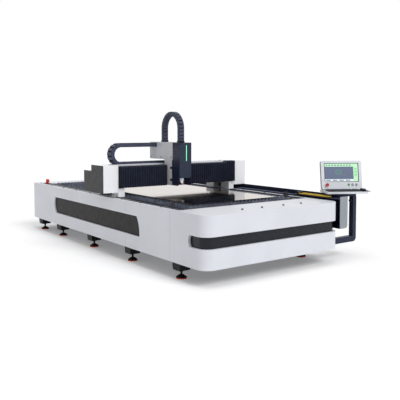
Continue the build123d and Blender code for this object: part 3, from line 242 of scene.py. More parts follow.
def noise(tree, scale, detail=3.0, stretch=(1, 1, 1)):
    """A soft noise with that many features to the metre."""
    cloud = tree.nodes.new("ShaderNodeTexNoise")
    cloud.inputs["Scale"].default_value = scale
    cloud.inputs["Detail"].default_value = detail
    tree.links.new(object_place(tree, stretch), cloud.inputs["Vector"])
    return cloud.outputs["Fac"]


def tint(tree, surface, pattern, low, high, start=0.35, end=0.65):
    """A pattern turned into a run between two colours of the surface."""
    run = tree.nodes.new("ShaderNodeValToRGB")
    run.color_ramp.elements[0].position = start
    run.color_ramp.elements[1].position = end
    run.color_ramp.elements[0].color = (*low, 1)
    run.color_ramp.elements[1].color = (*high, 1)
    tree.links.new(pattern, run.inputs["Fac"])
    tree.links.new(run.outputs["Color"], surface.inputs["Base Color"])


def shade(tree, surface, pattern, colour, contrast):
    """A pattern turned into slightly darker and lighter shades of a colour."""
    low = tuple(channel * (1 - contrast) for channel in colour)
    high = tuple(min(1, channel * (1 + contrast)) for channel in colour)
    tint(tree, surface, pattern, low, high)


def gloss(tree, surface, pattern, low, high):
    """A pattern turned into a roughness between two levels."""
    scale = tree.nodes.new("ShaderNodeMapRange")
    scale.inputs["From Min"].default_value = pattern_low
    scale.inputs["From Max"].default_value = pattern_high
    scale.inputs["To Min"].default_value = low
    scale.inputs["To Max"].default_value = high
    tree.links.new(pattern, scale.inputs["Value"])
    tree.links.new(scale.outputs["Result"], surface.inputs["Roughness"])


def relief(tree, surface, pattern, depth, strength=1.0):
    """A pattern turned into fine relief of that depth in metres."""
    bump = tree.nodes.new("ShaderNodeBump")
    bump.inputs["Distance"].default_value = depth
    bump.inputs["Strength"].default_value = strength
    tree.links.new(pattern, bump.inputs["Height"])
    tree.links.new(bump.outputs["Normal"], surface.inputs["Normal"])


def choose_colour(tree, share, low, high):
    """One colour where a share is zero and another where it is one."""
    mix = tree.nodes.new("ShaderNodeMix")
    mix.data_type = "RGBA"
    tree.links.new(share, mix.inputs["Factor"])
    for socket, colour in (("A", low), ("B", high)):
        entry = next(i for i in mix.inputs if i.name == socket and i.type == "RGBA")
        if isinstance(colour, tuple):
            entry.default_value = (*colour, 1)
        else:
            tree.links.new(colour, entry)
    return next(o for o in mix.outputs if o.type == "RGBA")


def beyond(tree, axis, place):
    """One past a place along an axis of the object, and zero before it."""
    split = tree.nodes.new("ShaderNodeSeparateXYZ")
    tree.links.new(object_place(tree), split.inputs["Vector"])
    past = tree.nodes.new("ShaderNodeMath")
    past.operation = "GREATER_THAN"
    past.inputs[1].default_value = place
    tree.links.new(split.outputs[axis], past.inputs[0])
    return past.outputs[0]


print("finish helpers ready")

# %% [markdown]
# ## Powder coat
# Most of the machine is folded sheet with a powder coat. The real coat has a faint orange peel, a few
# millimetres from crest to crest, and a gloss that changes slowly over a large panel. One function makes it
# in any colour, so that the white casing, the navy tubes and the console look like the same kind of paint.

# %% Painted sheet
peel_scale = 380
peel_depth = 0.00006
cloud_scale = 2.2
wear_scale = 14
smoother, rougher = 0.05, 0.07


def powder_coat(name, colour, roughness, contrast=0.03, peel=1.0):
    """A satin powder coat with a slow change of colour and gloss and a fine orange peel."""
    tree, surface = start_finish(name, colour, roughness)
    shade(tree, surface, noise(tree, cloud_scale, 4), colour, contrast)
    gloss(tree, surface, noise(tree, wear_scale, 5), roughness - smoother, roughness + rougher)
    relief(tree, surface, noise(tree, peel_scale, 1), peel_depth * peel, 0.5)
    return tree, surface


powder_coat("white_paint", srgb(221, 224, 231), 0.36)
powder_coat("frame_paint", srgb(58, 64, 78), 0.42, 0.08)
powder_coat("dark_sheet", srgb(38, 36, 36), 0.5, 0.06, 1.6)
powder_coat("blue_black_steel", srgb(40, 44, 56), 0.4, 0.12)
powder_coat("black_steel", srgb(17, 17, 20), 0.45, 0.1)
powder_coat("navy_paint", srgb(36, 42, 64), 0.34, 0.05)
powder_coat("grey_paint", srgb(144, 149, 156), 0.42)
powder_coat("light_grey_paint", srgb(216, 218, 224), 0.4)
powder_coat("console_paint", srgb(224, 228, 234), 0.36)
powder_coat("navy_cover", srgb(48, 55, 74), 0.3, 0.05)
powder_coat("motor_black", srgb(34, 35, 38), 0.45, 0.1)
print("painted finishes:", len(finishes))

# %% The stripe's gloss sheet
tree, surface = powder_coat("black_sheet", srgb(24, 29, 37), 0.24, 0.04, 0.5)
surface.inputs["Coat Weight"].default_value = 0.12
surface.inputs["Coat Roughness"].default_value = 0.08
print("painted finishes with the stripe:", len(finishes))

# %% [markdown]
# ## Bare and bright metal
# The guide rails are ground steel, with fine lines along their length. The slats are cut from sheet by a
# laser, so their faces carry dark mill scale and fine upright lines. The trays and the spigot are
# galvanised, and show the large crystals called spangle. The sheet on the table is polished stainless, and
# its peach tint is a painted reflection of a beige surrounding.

# %% Ground and cut steel
tree, surface = start_finish("ground_steel", srgb(186, 189, 194), 0.28, 1.0)
lines = noise(tree, 60, 4, (30, 0.6, 30))
gloss(tree, surface, lines, 0.2, 0.42)
relief(tree, surface, lines, 0.00003, 0.4)

tree, surface = start_finish("cut_steel", srgb(104, 110, 126), 0.42, 0.4)
tint(tree, surface, noise(tree, 9, 6), srgb(84, 89, 104), srgb(128, 134, 150))
gloss(tree, surface, noise(tree, 35, 4), 0.3, 0.55)
relief(tree, surface, noise(tree, 120, 3, (6, 6, 0.4)), 0.0002, 0.5)

tree, surface = start_finish("gear_steel", srgb(138, 139, 143), 0.35, 1.0)
gloss(tree, surface, noise(tree, 80, 4), 0.28, 0.5)

tree, surface = start_finish("key_metal", srgb(182, 182, 184), 0.22, 1.0)
gloss(tree, surface, noise(tree, 220, 3), 0.16, 0.34)
print("steel finishes ready")

# %% Galvanised sheet
spangle_scale = 70
tree, surface = start_finish("galvanised_steel", srgb(168, 171, 176), 0.4, 0.9)
spangle = tree.nodes.new("ShaderNodeTexVoronoi")
spangle.inputs["Scale"].default_value = spangle_scale
tree.links.new(object_place(tree), spangle.inputs["Vector"])
grey = tree.nodes.new("ShaderNodeRGBToBW")
tree.links.new(spangle.outputs["Color"], grey.inputs["Color"])
tint(tree, surface, grey.outputs["Val"], srgb(150, 153, 159), srgb(188, 191, 196), 0.2, 0.8)
gloss(tree, surface, grey.outputs["Val"], 0.3, 0.5)
print("spangle of about", round(1000 / spangle_scale), "mm")

# %% The polished sheet
# The peach colour and its slow change are a painted reflection of a beige surrounding, not the steel's own colour.
tree, surface = start_finish("mirror_steel", srgb(182, 168, 156), 0.05, 1.0)
tint(tree, surface, noise(tree, 3, 3), srgb(178, 163, 150), srgb(187, 174, 163))
brushed = noise(tree, 240, 3, (8, 0.15, 1))
gloss(tree, surface, brushed, 0.04, 0.11)
relief(tree, surface, noise(tree, 1.6, 1), 0.0008, 0.25)
print("polished sheet ready")

# %% The cutting head's aluminium
tree, surface = start_finish("anodised_head", srgb(196, 202, 214), 0.32, 0.6)
relief(tree, surface, noise(tree, 900, 2), 0.00003, 0.5)
gloss(tree, surface, noise(tree, 40, 3), 0.26, 0.4)
print("metal finishes:", len(finishes))

# %% [markdown]
# ## Rubber, nylon and other plastics
# The soft and moulded things are less even than paint. Nylon chain links have a leathery moulded grain, a
# rubber foot is matte with dust on it, and buttons are smooth and glossy.

# %% Moulded finishes
dust_scale = 12
grain_smoother, grain_rougher = 0.06, 0.08


def moulded(name, colour, roughness, grain_scale, grain_depth, contrast=0.06):
    """A moulded plastic or rubber with a fine grain and a slow change of colour."""
    tree, surface = start_finish(name, colour, roughness)
    shade(tree, surface, noise(tree, dust_scale, 4), colour, contrast)
    grain = noise(tree, grain_scale, 2)
    gloss(tree, surface, grain, roughness - grain_smoother, roughness + grain_rougher)
    relief(tree, surface, grain, grain_depth, 0.6)
    return tree, surface


moulded("chain_plastic", srgb(68, 73, 92), 0.44, 700, 0.00012, 0.1)
moulded("black_plastic", srgb(36, 37, 41), 0.4, 900, 0.00008)
moulded("orange_rubber", srgb(214, 78, 44), 0.6, 500, 0.0001)
moulded("yellow_jacket", srgb(226, 190, 44), 0.34, 400, 0.00008)
moulded("red_plastic", srgb(198, 40, 46), 0.25, 300, 0.00002)
moulded("button_green", srgb(62, 150, 84), 0.28, 300, 0.00002)
moulded("button_grey", srgb(150, 152, 158), 0.3, 300, 0.00002)
print("moulded finishes ready")

# %% [markdown]
# ## Finishes that change with their place
# Three finishes change over one piece. The bumpers at the rear are red and those in front are dark. The
# beam's end covers are white, and their outer side faces are coloured nearly black. The nozzle has a copper
# tip and a white body. Its upper band is painted pale blue and the whole nozzle glows a little, both painted
# light for a small lamp in the head that lights it. Each change follows a coordinate of the object.

# %% Bumpers, end covers and nozzle
tree, surface = moulded("red_rubber", srgb(214, 44, 40), 0.55, 400, 0.0001)
rear = beyond(tree, "Y", bed_middle.y)
bumper = choose_colour(tree, rear, srgb(44, 45, 50), srgb(214, 44, 40))
tree.links.new(bumper, surface.inputs["Base Color"])

face_margin = 0.0015
left_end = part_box("end_cover_left")[0].x
right_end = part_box("end_cover_right")[1].x
white_cover = srgb(247, 248, 252)
dark_cover = srgb(20, 20, 21)
tree, surface = powder_coat("cover_paint", white_cover, 0.36)
surface.inputs["Specular IOR Level"].default_value = 0.3
# The outer side faces are coloured nearly black, chosen by their X place alone.
outer_left = beyond(tree, "X", left_end + face_margin)
outer_right = beyond(tree, "X", right_end - face_margin)
side_colour = choose_colour(tree, outer_left, dark_cover, white_cover)
side_colour = choose_colour(tree, outer_right, side_colour, dark_cover)
tree.links.new(side_colour, surface.inputs["Base Color"])

tree, surface = start_finish("nozzle_white", srgb(222, 230, 246), 0.3)
nozzle_low, nozzle_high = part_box("nozzle")
# Painted light: the nozzle's upper band is painted pale blue and the nozzle glows, standing for the light of a
# small lamp in the head.
painted_blue_drop = 0.031
painted_nozzle_glow = 0.35
copper_rise = 0.012
painted_blue_from = beyond(tree, "Z", nozzle_high.z - painted_blue_drop)
body_colour = choose_colour(tree, painted_blue_from, srgb(246, 248, 252), srgb(212, 224, 252))
white_from = beyond(tree, "Z", nozzle_low.z + copper_rise)
tip_colour = choose_colour(tree, white_from, srgb(196, 128, 84), body_colour)
tree.links.new(tip_colour, surface.inputs["Base Color"])
tree.links.new(tip_colour, surface.inputs["Emission Color"])
surface.inputs["Emission Strength"].default_value = painted_nozzle_glow
gloss(tree, surface, noise(tree, 300, 2), 0.24, 0.38)
print("finishes that follow a place:", 3)

# %% [markdown]
# ## The shields' cloth
# The pleated shields are coated fabric, nearly black, with a fine weave. A band texture at the threads'
# scale gives the weave as relief, and a slow noise gives the dusty, uneven colour. A trace of sheen lifts
# the folds' edges, as loose fibres do.

# %% The pleated cloth
weave_scale = 1500
tree, surface = start_finish("bellows_fabric", srgb(30, 34, 48), 0.62)
surface.inputs["Sheen Weight"].default_value = 0.05
surface.inputs["Sheen Roughness"].default_value = 0.5
cloth = noise(tree, 16, 5)
tint(tree, surface, cloth, srgb(19, 26, 42), srgb(32, 40, 60))
gloss(tree, surface, cloth, 0.5, 0.7)
weave = tree.nodes.new("ShaderNodeTexWave")
weave.bands_direction = "Z"
weave.inputs["Scale"].default_value = weave_scale
weave.inputs["Distortion"].default_value = 1.5
tree.links.new(object_place(tree), weave.inputs["Vector"])
relief(tree, surface, weave.outputs["Fac"], 0.0001, 0.5)
print("weave scale:", weave_scale)

# %% [markdown]
# ## Light strip and display
# Both give light of their own, but little: a lamp behind a milky cover and a lit screen look flat and pale
# in daylight. So their colour is on the surface and, weakly, in its emission, and dust changes the gloss of
# the glass.

# %% Lit finishes
tree, surface = start_finish("green_light", srgb(120, 226, 172), 0.3)
surface.inputs["Emission Color"].default_value = (*srgb(96, 232, 168), 1)
surface.inputs["Emission Strength"].default_value = 0.8
diffuser = noise(tree, 30, 2, (1, 1, 0.4))
tint(tree, surface, diffuser, srgb(112, 222, 166), srgb(140, 236, 186))


glass_roughness = 0.12
glass_smoother, glass_rougher = 0.04, 0.1


def lit_field(name, colour, glow):
    """A patch of a lit display behind glass."""
    tree, surface = start_finish(name, colour, glass_roughness)
    surface.inputs["Emission Color"].default_value = (*colour, 1)
    surface.inputs["Emission Strength"].default_value = glow
    dust = noise(tree, 60, 4)
    gloss(tree, surface, dust, glass_roughness - glass_smoother, glass_roughness + glass_rougher)


lit_field("screen_glass", srgb(30, 33, 42), 0.0)
lit_field("display_field", srgb(92, 102, 126), 0.35)
lit_field("display_bar", srgb(178, 222, 184), 0.4)
lit_field("display_panel", srgb(214, 224, 226), 0.4)
lit_field("display_line", srgb(60, 178, 96), 0.5)
print("finishes in all:", len(finishes))

# %% [markdown]
# ## Dressing the construction
# Each node of the construction names a material slot in its record, and the finishes above have the slots'
# names, so one loop dresses them all. The gantry's feet are the one exception: their outer faces are dark,
# like those of the end covers above them.

# %% Give every node its finish
record_slots = {part["node"]: part["material_slot"] for part in frame["record"]["subparts"]}
own_finish = {"gantry_feet": "cover_paint"}
for node_name, node in nodes.items():
    for entry in node.material_slots:
        entry.material = finishes[own_finish.get(node_name, record_slots[node_name])]
print("slots in the record:", len(set(record_slots.values())))

# %% [markdown]
# ## Modelling helpers
# New pieces start from a cube or a cone of bmesh, are shaped by operators, and end as an object whose place
# is in its mesh. These helpers add a block, a bar or a screw to a shape, and turn a shape into a piece.

# %% Shapes
smooth_limit = math.radians(35)
screw_sides = 12
hollow_wall_share = 0.45
hollow_depth_share = 0.5


def add_block(shape, low, high, edge=0.0, segments=2):
    """A block between two corners, with its edges rounded."""
    low = Vector(low)
    high = Vector(high)
    made = bmesh.ops.create_cube(shape, size=1)["verts"]
    bmesh.ops.scale(shape, vec=high - low, verts=made)
    bmesh.ops.translate(shape, vec=(low + high) / 2, verts=made)
    if edge:
        edges = list({e for v in made for e in v.link_edges})
        bmesh.ops.bevel(shape, geom=edges, offset=edge, segments=segments, affect="EDGES",
                        profile=0.5, material=-1)


def add_bar(shape, start, end, radius, sides=16, tip=None):
    """A round bar or cone from one point to another."""
    start = Vector(start)
    run = Vector(end) - start
    turn = run.to_track_quat("Z", "Y").to_matrix().to_4x4()
    place = Matrix.Translation(start + run / 2) @ turn
    bmesh.ops.create_cone(shape, cap_ends=True, segments=sides, radius1=radius,
                          radius2=radius if tip is None else tip, depth=run.length, matrix=place)


def add_screw(shape, place, along, radius):
    """A screw's round head that stands on a surface, with the hollow for its key."""
    along = Vector(along).normalized()
    turn = along.to_track_quat("Z", "Y").to_matrix().to_4x4()
    middle = Matrix.Translation(Vector(place) + along * radius / 2) @ turn
    made = bmesh.ops.create_cone(shape, cap_ends=True, segments=screw_sides, radius1=radius, radius2=radius,
                                 depth=radius, matrix=middle)["verts"]
    faces = list({face for vert in made for face in vert.link_faces})
    bmesh.ops.recalc_face_normals(shape, faces=faces)
    head = max(faces, key=lambda face: face.calc_center_median().dot(along))
    bmesh.ops.inset_individual(shape, faces=[head], thickness=radius * hollow_wall_share,
                               depth=-radius * hollow_depth_share)


def add_copy(shape, mesh, place):
    """A copy of a mesh, put into a shape at its place."""
    before = len(shape.verts)
    shape.from_mesh(mesh)
    bmesh.ops.transform(shape, matrix=place, verts=shape.verts[:][before:])


print("shape helpers ready")


def mesh_of(name, shape):
    """The mesh of a finished shape, with its faces pointing outwards."""
    bmesh.ops.recalc_face_normals(shape, faces=shape.faces[:])
    mesh = bpy.data.meshes.new(name)
    shape.to_mesh(mesh)
    shape.free()
    return mesh


def finish_piece(name, shape, finish, body=None, place=None, smooth=True):
    """Turn a shape into a piece of the object, with its place in its mesh."""
    names = [finish] if isinstance(finish, str) else finish
    mesh = mesh_of(name, shape)
    if place:
        mesh.transform(place)
    if smooth:
        mesh.shade_smooth()
        mesh.set_sharp_from_angle(angle=smooth_limit)
    for slot_name in names:
        mesh.materials.append(finishes[slot_name])
    piece = bpy.data.objects.new(name, mesh)
    bpy.context.scene.collection.objects.link(piece)
    if body:
        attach(piece, body)
    return piece


def middle_of(node):
    """The middle of a node's box."""
    low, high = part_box(node)
    return (low + high) / 2


def left_and_right(low, high):
    """The two side faces of a box, each with the way that it looks."""
    return (low.x, (-1, 0, 0)), (high.x, (1, 0, 0))


print("piece helpers ready")

# %% [markdown]
# ## Casing seams and screws
# The casing is made of several folded sheets, so a thin dark joint shows where two of them meet, and screws
# hold the deck. A joint is modelled as a narrow dark strip that stands a hair proud of the sheet, because a
# real gap would need the construction's own sheet to be cut.

# %% Seams
seam_width = 0.0018
seam_proud = 0.0004
seam_places = (-0.72, 0.66)
ear_reach = 0.1
ear_clearance = 0.03
left_low, left_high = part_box("left_side_panel")
right_low, right_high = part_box("right_side_panel")
ear_low, ear_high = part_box("left_ear_panel")
joint_places = [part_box("front_apron")[1].y] + [bed_middle.y + place for place in seam_places]


def add_seam(shape, x, y, bottom, top):
    """An upright strip on a side sheet."""
    add_block(shape, (x, y - seam_width / 2, bottom), (x + seam_proud, y + seam_width / 2, top))


shape = bmesh.new()
left_face = left_low.x - seam_proud
for y in joint_places:
    if ear_low.y - ear_reach < y < ear_high.y + ear_reach:
        add_seam(shape, left_face, y, ear_high.z + ear_clearance, left_high.z)
        add_seam(shape, left_face, y, left_low.z, ear_low.z - ear_clearance)
    else:
        add_seam(shape, left_face, y, left_low.z, left_high.z)
    add_seam(shape, right_high.x, y, right_low.z, right_high.z)
finish_piece("panel_seams", shape, "grey_paint", "bed")
print("joints in the sheets at", [round(y, 3) for y in joint_places])

# %% Deck screws
screw_radius = 0.008
front_screw_radius = 0.0112
front_screws_x = (-0.38, -0.10, 0.22, 0.50)
front_screw_y = -2.15
side_screw_inset = 0.03
side_screw_count = 9
upward = Vector((0, 0, 1))

shape = bmesh.new()
for x in front_screws_x:
    place = (bed_middle.x + x, bed_middle.y + front_screw_y, deck_high.z)
    add_screw(shape, place, upward, front_screw_radius)
run = left_high.y - left_low.y
for index in range(side_screw_count):
    y = left_low.y + run * (index + 0.5) / side_screw_count
    for x in (deck_low.x + side_screw_inset, deck_high.x - side_screw_inset):
        add_screw(shape, (x, y, deck_high.z), upward, screw_radius)
finish_piece("deck_screws", shape, "black_steel", "bed")
print("screws on the deck:", len(front_screws_x) + 2 * side_screw_count)

# %% Rear panel screws and cabinet louvres
rear_low, rear_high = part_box("rear_panel")
panel_inset = 0.03
louvre_size = Vector((0.26, 0.006, 0.008))
louvre_edge = 0.002
louvre_sunk = 0.001
louvre_pitch = 0.02
louvre_count = 10
louvre_from_middle = 0.35
louvre_from_bottom = 0.2

shape = bmesh.new()
for x in (rear_low.x + panel_inset, bed_middle.x, rear_high.x - panel_inset):
    for z in (rear_low.z + panel_inset, rear_high.z - panel_inset):
        add_screw(shape, (x, rear_high.y, z), (0, 1, 0), screw_radius)
finish_piece("rear_panel_screws", shape, "black_steel", "bed")

shape = bmesh.new()
for index in range(louvre_count):
    z = rear_low.z + louvre_from_bottom + index * louvre_pitch
    low = Vector((bed_middle.x + louvre_from_middle, rear_high.y - louvre_sunk, z))
    add_block(shape, low, low + louvre_size, louvre_edge)
finish_piece("rear_louvres", shape, "white_paint", "bed")
print("louvres:", louvre_count)

# %% [markdown]
# ## The slats and their combs
# A cutting table's slats are thin steel blades with triangular teeth, so that the sheet touches only
# points. The construction has every second blade, with coarse teeth. Here each blade starts as a flat grid,
# its upper vertices go up and down in turn, and the grid is extruded to its thickness. The blades stand in
# two slotted bars.

# %% Toothed blades
slat_low, slat_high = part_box("slats")
comb_low, comb_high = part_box("slat_combs")
blade_thickness = 0.004
blade_count = 61
teeth = 28
tooth_depth = 0.034
blade_end_gap = 0.005
end_overlap = 0.001
comb_slot_half = 0.003
comb_rest = 0.06
comb_reach = 0.028
comb_inner = slat_low.x + comb_reach
slot_floor = comb_high.z - comb_rest
blade_left = comb_inner + blade_end_gap
blade_right = 2 * bed_middle.x - blade_left
blade_step = (slat_high.y - slat_low.y - blade_thickness) / (blade_count - 1)

blade = bmesh.new()
bmesh.ops.create_grid(blade, x_segments=2 * teeth, y_segments=1, size=0.5)
for vert in blade.verts:
    column = round((vert.co.x + 0.5) * 2 * teeth)
    x = blade_left + (blade_right - blade_left) * (vert.co.x + 0.5)
    top = slat_high.z if column % 2 else slat_high.z - tooth_depth
    vert.co = (x, 0, top if vert.co.y > 0 else slat_low.z)
far_side = bmesh.ops.extrude_face_region(blade, geom=blade.faces[:])["geom"]
far_verts = [v for v in far_side if isinstance(v, bmesh.types.BMVert)]
bmesh.ops.translate(blade, vec=(0, blade_thickness, 0), verts=far_verts)
for low_x, high_x in ((slat_low.x, blade_left + end_overlap), (blade_right - end_overlap, slat_high.x)):
    add_block(blade, (low_x, 0, slot_floor), (high_x, blade_thickness, comb_high.z))
blade_mesh = mesh_of("one_blade", blade)

shape = bmesh.new()
for index in range(blade_count):
    add_copy(shape, blade_mesh, Matrix.Translation((0, slat_low.y + index * blade_step, 0)))
toothed_slats = finish_piece("toothed_slats", shape, "cut_steel", "bed", smooth=False)
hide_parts("slats")
print("blades:", blade_count, "teeth on each:", teeth, "step:", round(blade_step, 4))

# %% Slotted bars
slot_back = slat_low.x - end_overlap
shape = bmesh.new()
for side in (0, 1):
    before = len(shape.verts)
    add_block(shape, comb_low, (comb_inner, comb_high.y, slot_floor))
    add_block(shape, (comb_low.x, comb_low.y, slot_floor), (slot_back, comb_high.y, comb_high.z))
    edge = comb_low.y
    for index in range(blade_count + 1):
        slot = slat_low.y + index * blade_step + blade_thickness / 2
        last = min(slot - comb_slot_half, comb_high.y)
        add_block(shape, (slot_back, edge, slot_floor), (comb_inner, last, comb_high.z))
        edge = slot + comb_slot_half
    if side:
        made = shape.verts[:][before:]
        bmesh.ops.scale(shape, vec=(-1, 1, 1), verts=made)
        bmesh.ops.translate(shape, vec=(2 * bed_middle.x, 0, 0), verts=made)
slotted_bars = finish_piece("slotted_bars", shape, "blue_black_steel", "bed", smooth=False)
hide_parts("slat_combs")
print("slots in each bar:", blade_count)

# %% [markdown]
# ## Guide rails
# Ground rails are screwed down every eighty millimetres or so, with a cap in each hole. The caps are thin
# discs that stand barely proud of the rail, because they are flush on the real one.

# %% Rail caps
rails_low, rails_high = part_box("y_guide_rails")
blocks_low, blocks_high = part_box("y_guide_blocks")
block_half = 0.024
guide_half = (blocks_high.x - blocks_low.x) / 2 - block_half
cap_radius = 0.0055
cap_sides = 10
cap_low = rails_high.z - 0.001
cap_high = rails_high.z + 0.0002
cap_pitch = 0.08
caps = int((rails_high.y - rails_low.y) / cap_pitch)
shape = bmesh.new()
for x in (bed_middle.x - guide_half, bed_middle.x + guide_half):
    for index in range(caps):
        y = rails_low.y + (index + 0.5) * cap_pitch
        add_bar(shape, (x, y, cap_low), (x, y, cap_high), cap_radius, cap_sides)
finish_piece("rail_caps", shape, "black_plastic", "bed")
print("caps on each rail:", caps)

# %% [markdown]
# ## Energy chains
# The three black chains carry hoses and cables to the moving parts. Each is a row of links on a path with a
# lower run, a half turn and an upper run. One link is modelled once and copied along the path.
# When the moving end travels, the bend of a real chain travels half as far.

# %% One link
plate_thickness = 0.008
plate_inset = 0.002
plate_edge = 0.006
plate_rise_share = 0.86
plate_run_share = 0.49
pin_share = 0.34
pin_sides = 14
bar_inset = 0.003
bar_edge = 0.002
bar_run_share = 0.84
bar_foot_share = 0.78
hose_run_share = 0.54
hose_sides = 8
hoses = ((-0.26, 0.22), (0.02, 0.17), (0.27, 0.2))


def link_mesh(name, step, width, thickness):
    """A chain link along X: two side plates with pins, two cross bars, and hoses inside."""
    shape = bmesh.new()
    half = thickness / 2
    for side in (-1, 1):
        outer = side * (width / 2 - plate_inset)
        inner = outer - side * plate_thickness
        low = (-step * plate_run_share, min(outer, inner), -half * plate_rise_share)
        high = (step * plate_run_share, max(outer, inner), half * plate_rise_share)
        add_block(shape, low, high, plate_edge, 1)
        pin_in, pin_out = (-step / 2, inner, 0), (-step / 2, side * width / 2, 0)
        add_bar(shape, pin_in, pin_out, thickness * pin_share, pin_sides)
    for side in (-1, 1):
        near, far = side * half * bar_foot_share, side * half
        low = (-step * bar_run_share / 2, -width / 2 + bar_inset, min(near, far))
        high = (step * bar_run_share / 2, width / 2 - bar_inset, max(near, far))
        add_block(shape, low, high, bar_edge, 1)
    plastic_faces = len(shape.faces)
    reach = step * hose_run_share
    for across, size in hoses:
        y = across * width
        add_bar(shape, (-reach, y, 0), (reach, y, 0), thickness * size, hose_sides)
    shape.faces.ensure_lookup_table()
    for face in shape.faces[plastic_faces:]:
        face.material_index = 1
    return mesh_of(name, shape)


print("hoses in a link:", len(hoses))

# %% The chain along its path


def chain_point(distance, leg_in, radius):
    """Place and turn on the chain's middle line, at a distance from its fixed end."""
    if distance < leg_in:
        return leg_in - distance, -radius, math.pi
    turned = min((distance - leg_in) / radius, math.pi)
    if turned < math.pi:
        return -radius * math.sin(turned), -radius * math.cos(turned), math.pi + turned
    return distance - leg_in - math.pi * radius, radius, 2 * math.pi


def chain_runs(link, place, leg_in, radius, leg_out, links):
    """The three runs of a chain as shapes, and how near to the bend's middle each run comes."""
    length = leg_in + math.pi * radius + leg_out
    step = length / links
    runs = {"lower": bmesh.new(), "bend": bmesh.new(), "upper": bmesh.new()}
    nearest = {"lower": leg_in, "bend": 0, "upper": leg_out}
    for index in range(links):
        distance = (index + 0.5) * step
        u, w, angle = chain_point(distance, leg_in, radius)
        name = "bend"
        if distance < leg_in - step / 2:
            name = "lower"
        if distance > length - leg_out + step / 2:
            name = "upper"
        nearest[name] = min(nearest[name], u - step / 2)
        turn = Matrix.Translation((u, 0, w)) @ Matrix.Rotation(angle, 4, "Y")
        add_copy(runs[name], link, place @ turn)
    return runs, nearest


print("chain path ready")


def lay_chain(node, along, opens, thickness, pitch, fixed, moving):
    """A chain in its node's box, as three pieces.

    The runs go along one axis from the bend, and open along another from the lower run to the upper one.
    Each end is given by its body, which is not used, a corner that it reaches to and the gap left there."""
    low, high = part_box(node)
    u, w = Vector(along), Vector(opens)
    v = w.cross(u)
    radius = (abs((high - low).dot(w)) - thickness) / 2
    centre = middle_of(node) + u * (radius + thickness / 2 - abs((high - low).dot(u)) / 2)
    place = Matrix.Translation(centre) @ Matrix((u, v, w)).transposed().to_4x4()
    leg_in, leg_out = [(corner - centre).dot(u) - gap for body, corner, gap in (fixed, moving)]
    length = leg_in + math.pi * radius + leg_out
    links = round(length / pitch)
    link = link_mesh(node + "_link", length / links, abs((high - low).dot(v)), thickness)
    runs, nearest = chain_runs(link, place, leg_in, radius, leg_out, links)
    for name, shape in runs.items():
        piece = finish_piece(node + "_" + name, shape, ["chain_plastic", "black_plastic"])
        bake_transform(piece)
        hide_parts(node)
    print(node, "links:", links, "step:", round(length / links, 4))


# %% The three chains
x_low, x_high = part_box("x_chain")
z_low, z_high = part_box("z_chain")
carriage_low, carriage_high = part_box("carriage_cover")
hood_low, hood_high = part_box("head_cover")
x_thickness, y_thickness, z_thickness = 0.053, 0.054, 0.056
x_pitch, y_pitch, z_pitch = 0.05, 0.075, 0.046
end_gap = 0.0003
arm_inset = 0.002

lay_chain("x_chain", (1, 0, 0), upward, x_thickness, x_pitch,
          ("gantry", x_high, 0), ("carriage", carriage_low, end_gap))
lay_chain("y_chain", (0, 1, 0), upward, y_thickness, y_pitch,
          ("bed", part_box("y_chain")[1], 0), ("gantry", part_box("beam_top_cover")[1], arm_inset))
lay_chain("z_chain", (0, 0, -1), (0, -1, 0), z_thickness, z_pitch,
          ("carriage", carriage_high, end_gap), ("head", hood_high, end_gap))

# %% Chain brackets
bracket_sheet = 0.004
bracket_height = 0.02
bracket_edge = 0.001
arm_back = 0.012
arm_reach = 0.03
arm_side_inset = 0.004


def add_bracket(shape, y, bottom):
    """An upright plate across the head's chain."""
    high = (z_high.x, y + bracket_sheet, bottom + bracket_height)
    add_block(shape, (z_low.x, y, bottom), high, bracket_edge)


shape = bmesh.new()
arm_top = x_high.z - x_thickness
add_block(shape, (carriage_low.x - arm_back, x_low.y + arm_side_inset, arm_top - bracket_sheet),
          (carriage_low.x + arm_reach, x_high.y - arm_side_inset, arm_top), bracket_edge)
add_bracket(shape, z_high.y - z_thickness - bracket_sheet, carriage_high.z)
add_bracket(shape, z_high.y, carriage_high.z)
finish_piece("carriage_chain_brackets", shape, "black_steel", "carriage")

shape = bmesh.new()
add_bracket(shape, z_low.y - bracket_sheet, hood_high.z)
add_bracket(shape, z_low.y + z_thickness, hood_high.z)
finish_piece("head_chain_bracket", shape, "black_steel", "head")
print("chain brackets done")

# %% [markdown]
# ## Pleated shields
# The bellows keep dust off the beam's rails. Their cloth is folded round the beam's front in a C, so that a
# fold runs over the top, down the front and under. Each shield is a grid whose columns are ridges and
# valleys in turn. It is made in short stretches of a few folds each.

# %% One stretch of cloth
fold_depth = 0.02
cloth_thickness = 0.0012


def cloth_stretch(x0, x1, folds, low, high, rise):
    """A stretch of pleated cloth, open at the back, between two X places."""
    shape = bmesh.new()
    bmesh.ops.create_grid(shape, x_segments=2 * folds, y_segments=3, size=0.5)
    rows = ((high.y, low.z), (low.y, low.z), (low.y, high.z + rise), (high.y, high.z + rise))
    for vert in shape.verts:
        column = round((vert.co.x + 0.5) * 2 * folds)
        row = round((vert.co.y + 0.5) * 3)
        y, z = rows[row]
        inward = 0 if column % 2 else fold_depth
        y += inward if row in (1, 2) else 0
        z += inward if row < 2 else -inward
        vert.co = (x0 + (x1 - x0) * (vert.co.x + 0.5), y, z)
    bmesh.ops.recalc_face_normals(shape, faces=shape.faces[:])
    bmesh.ops.solidify(shape, geom=shape.faces[:], thickness=cloth_thickness)
    return shape


print("cloth of", cloth_thickness * 1000, "mm")

# %% One shield
fold_pitch = 0.034
stretch_folds = 3
collar_rise = 0.02
collar_folds = 4


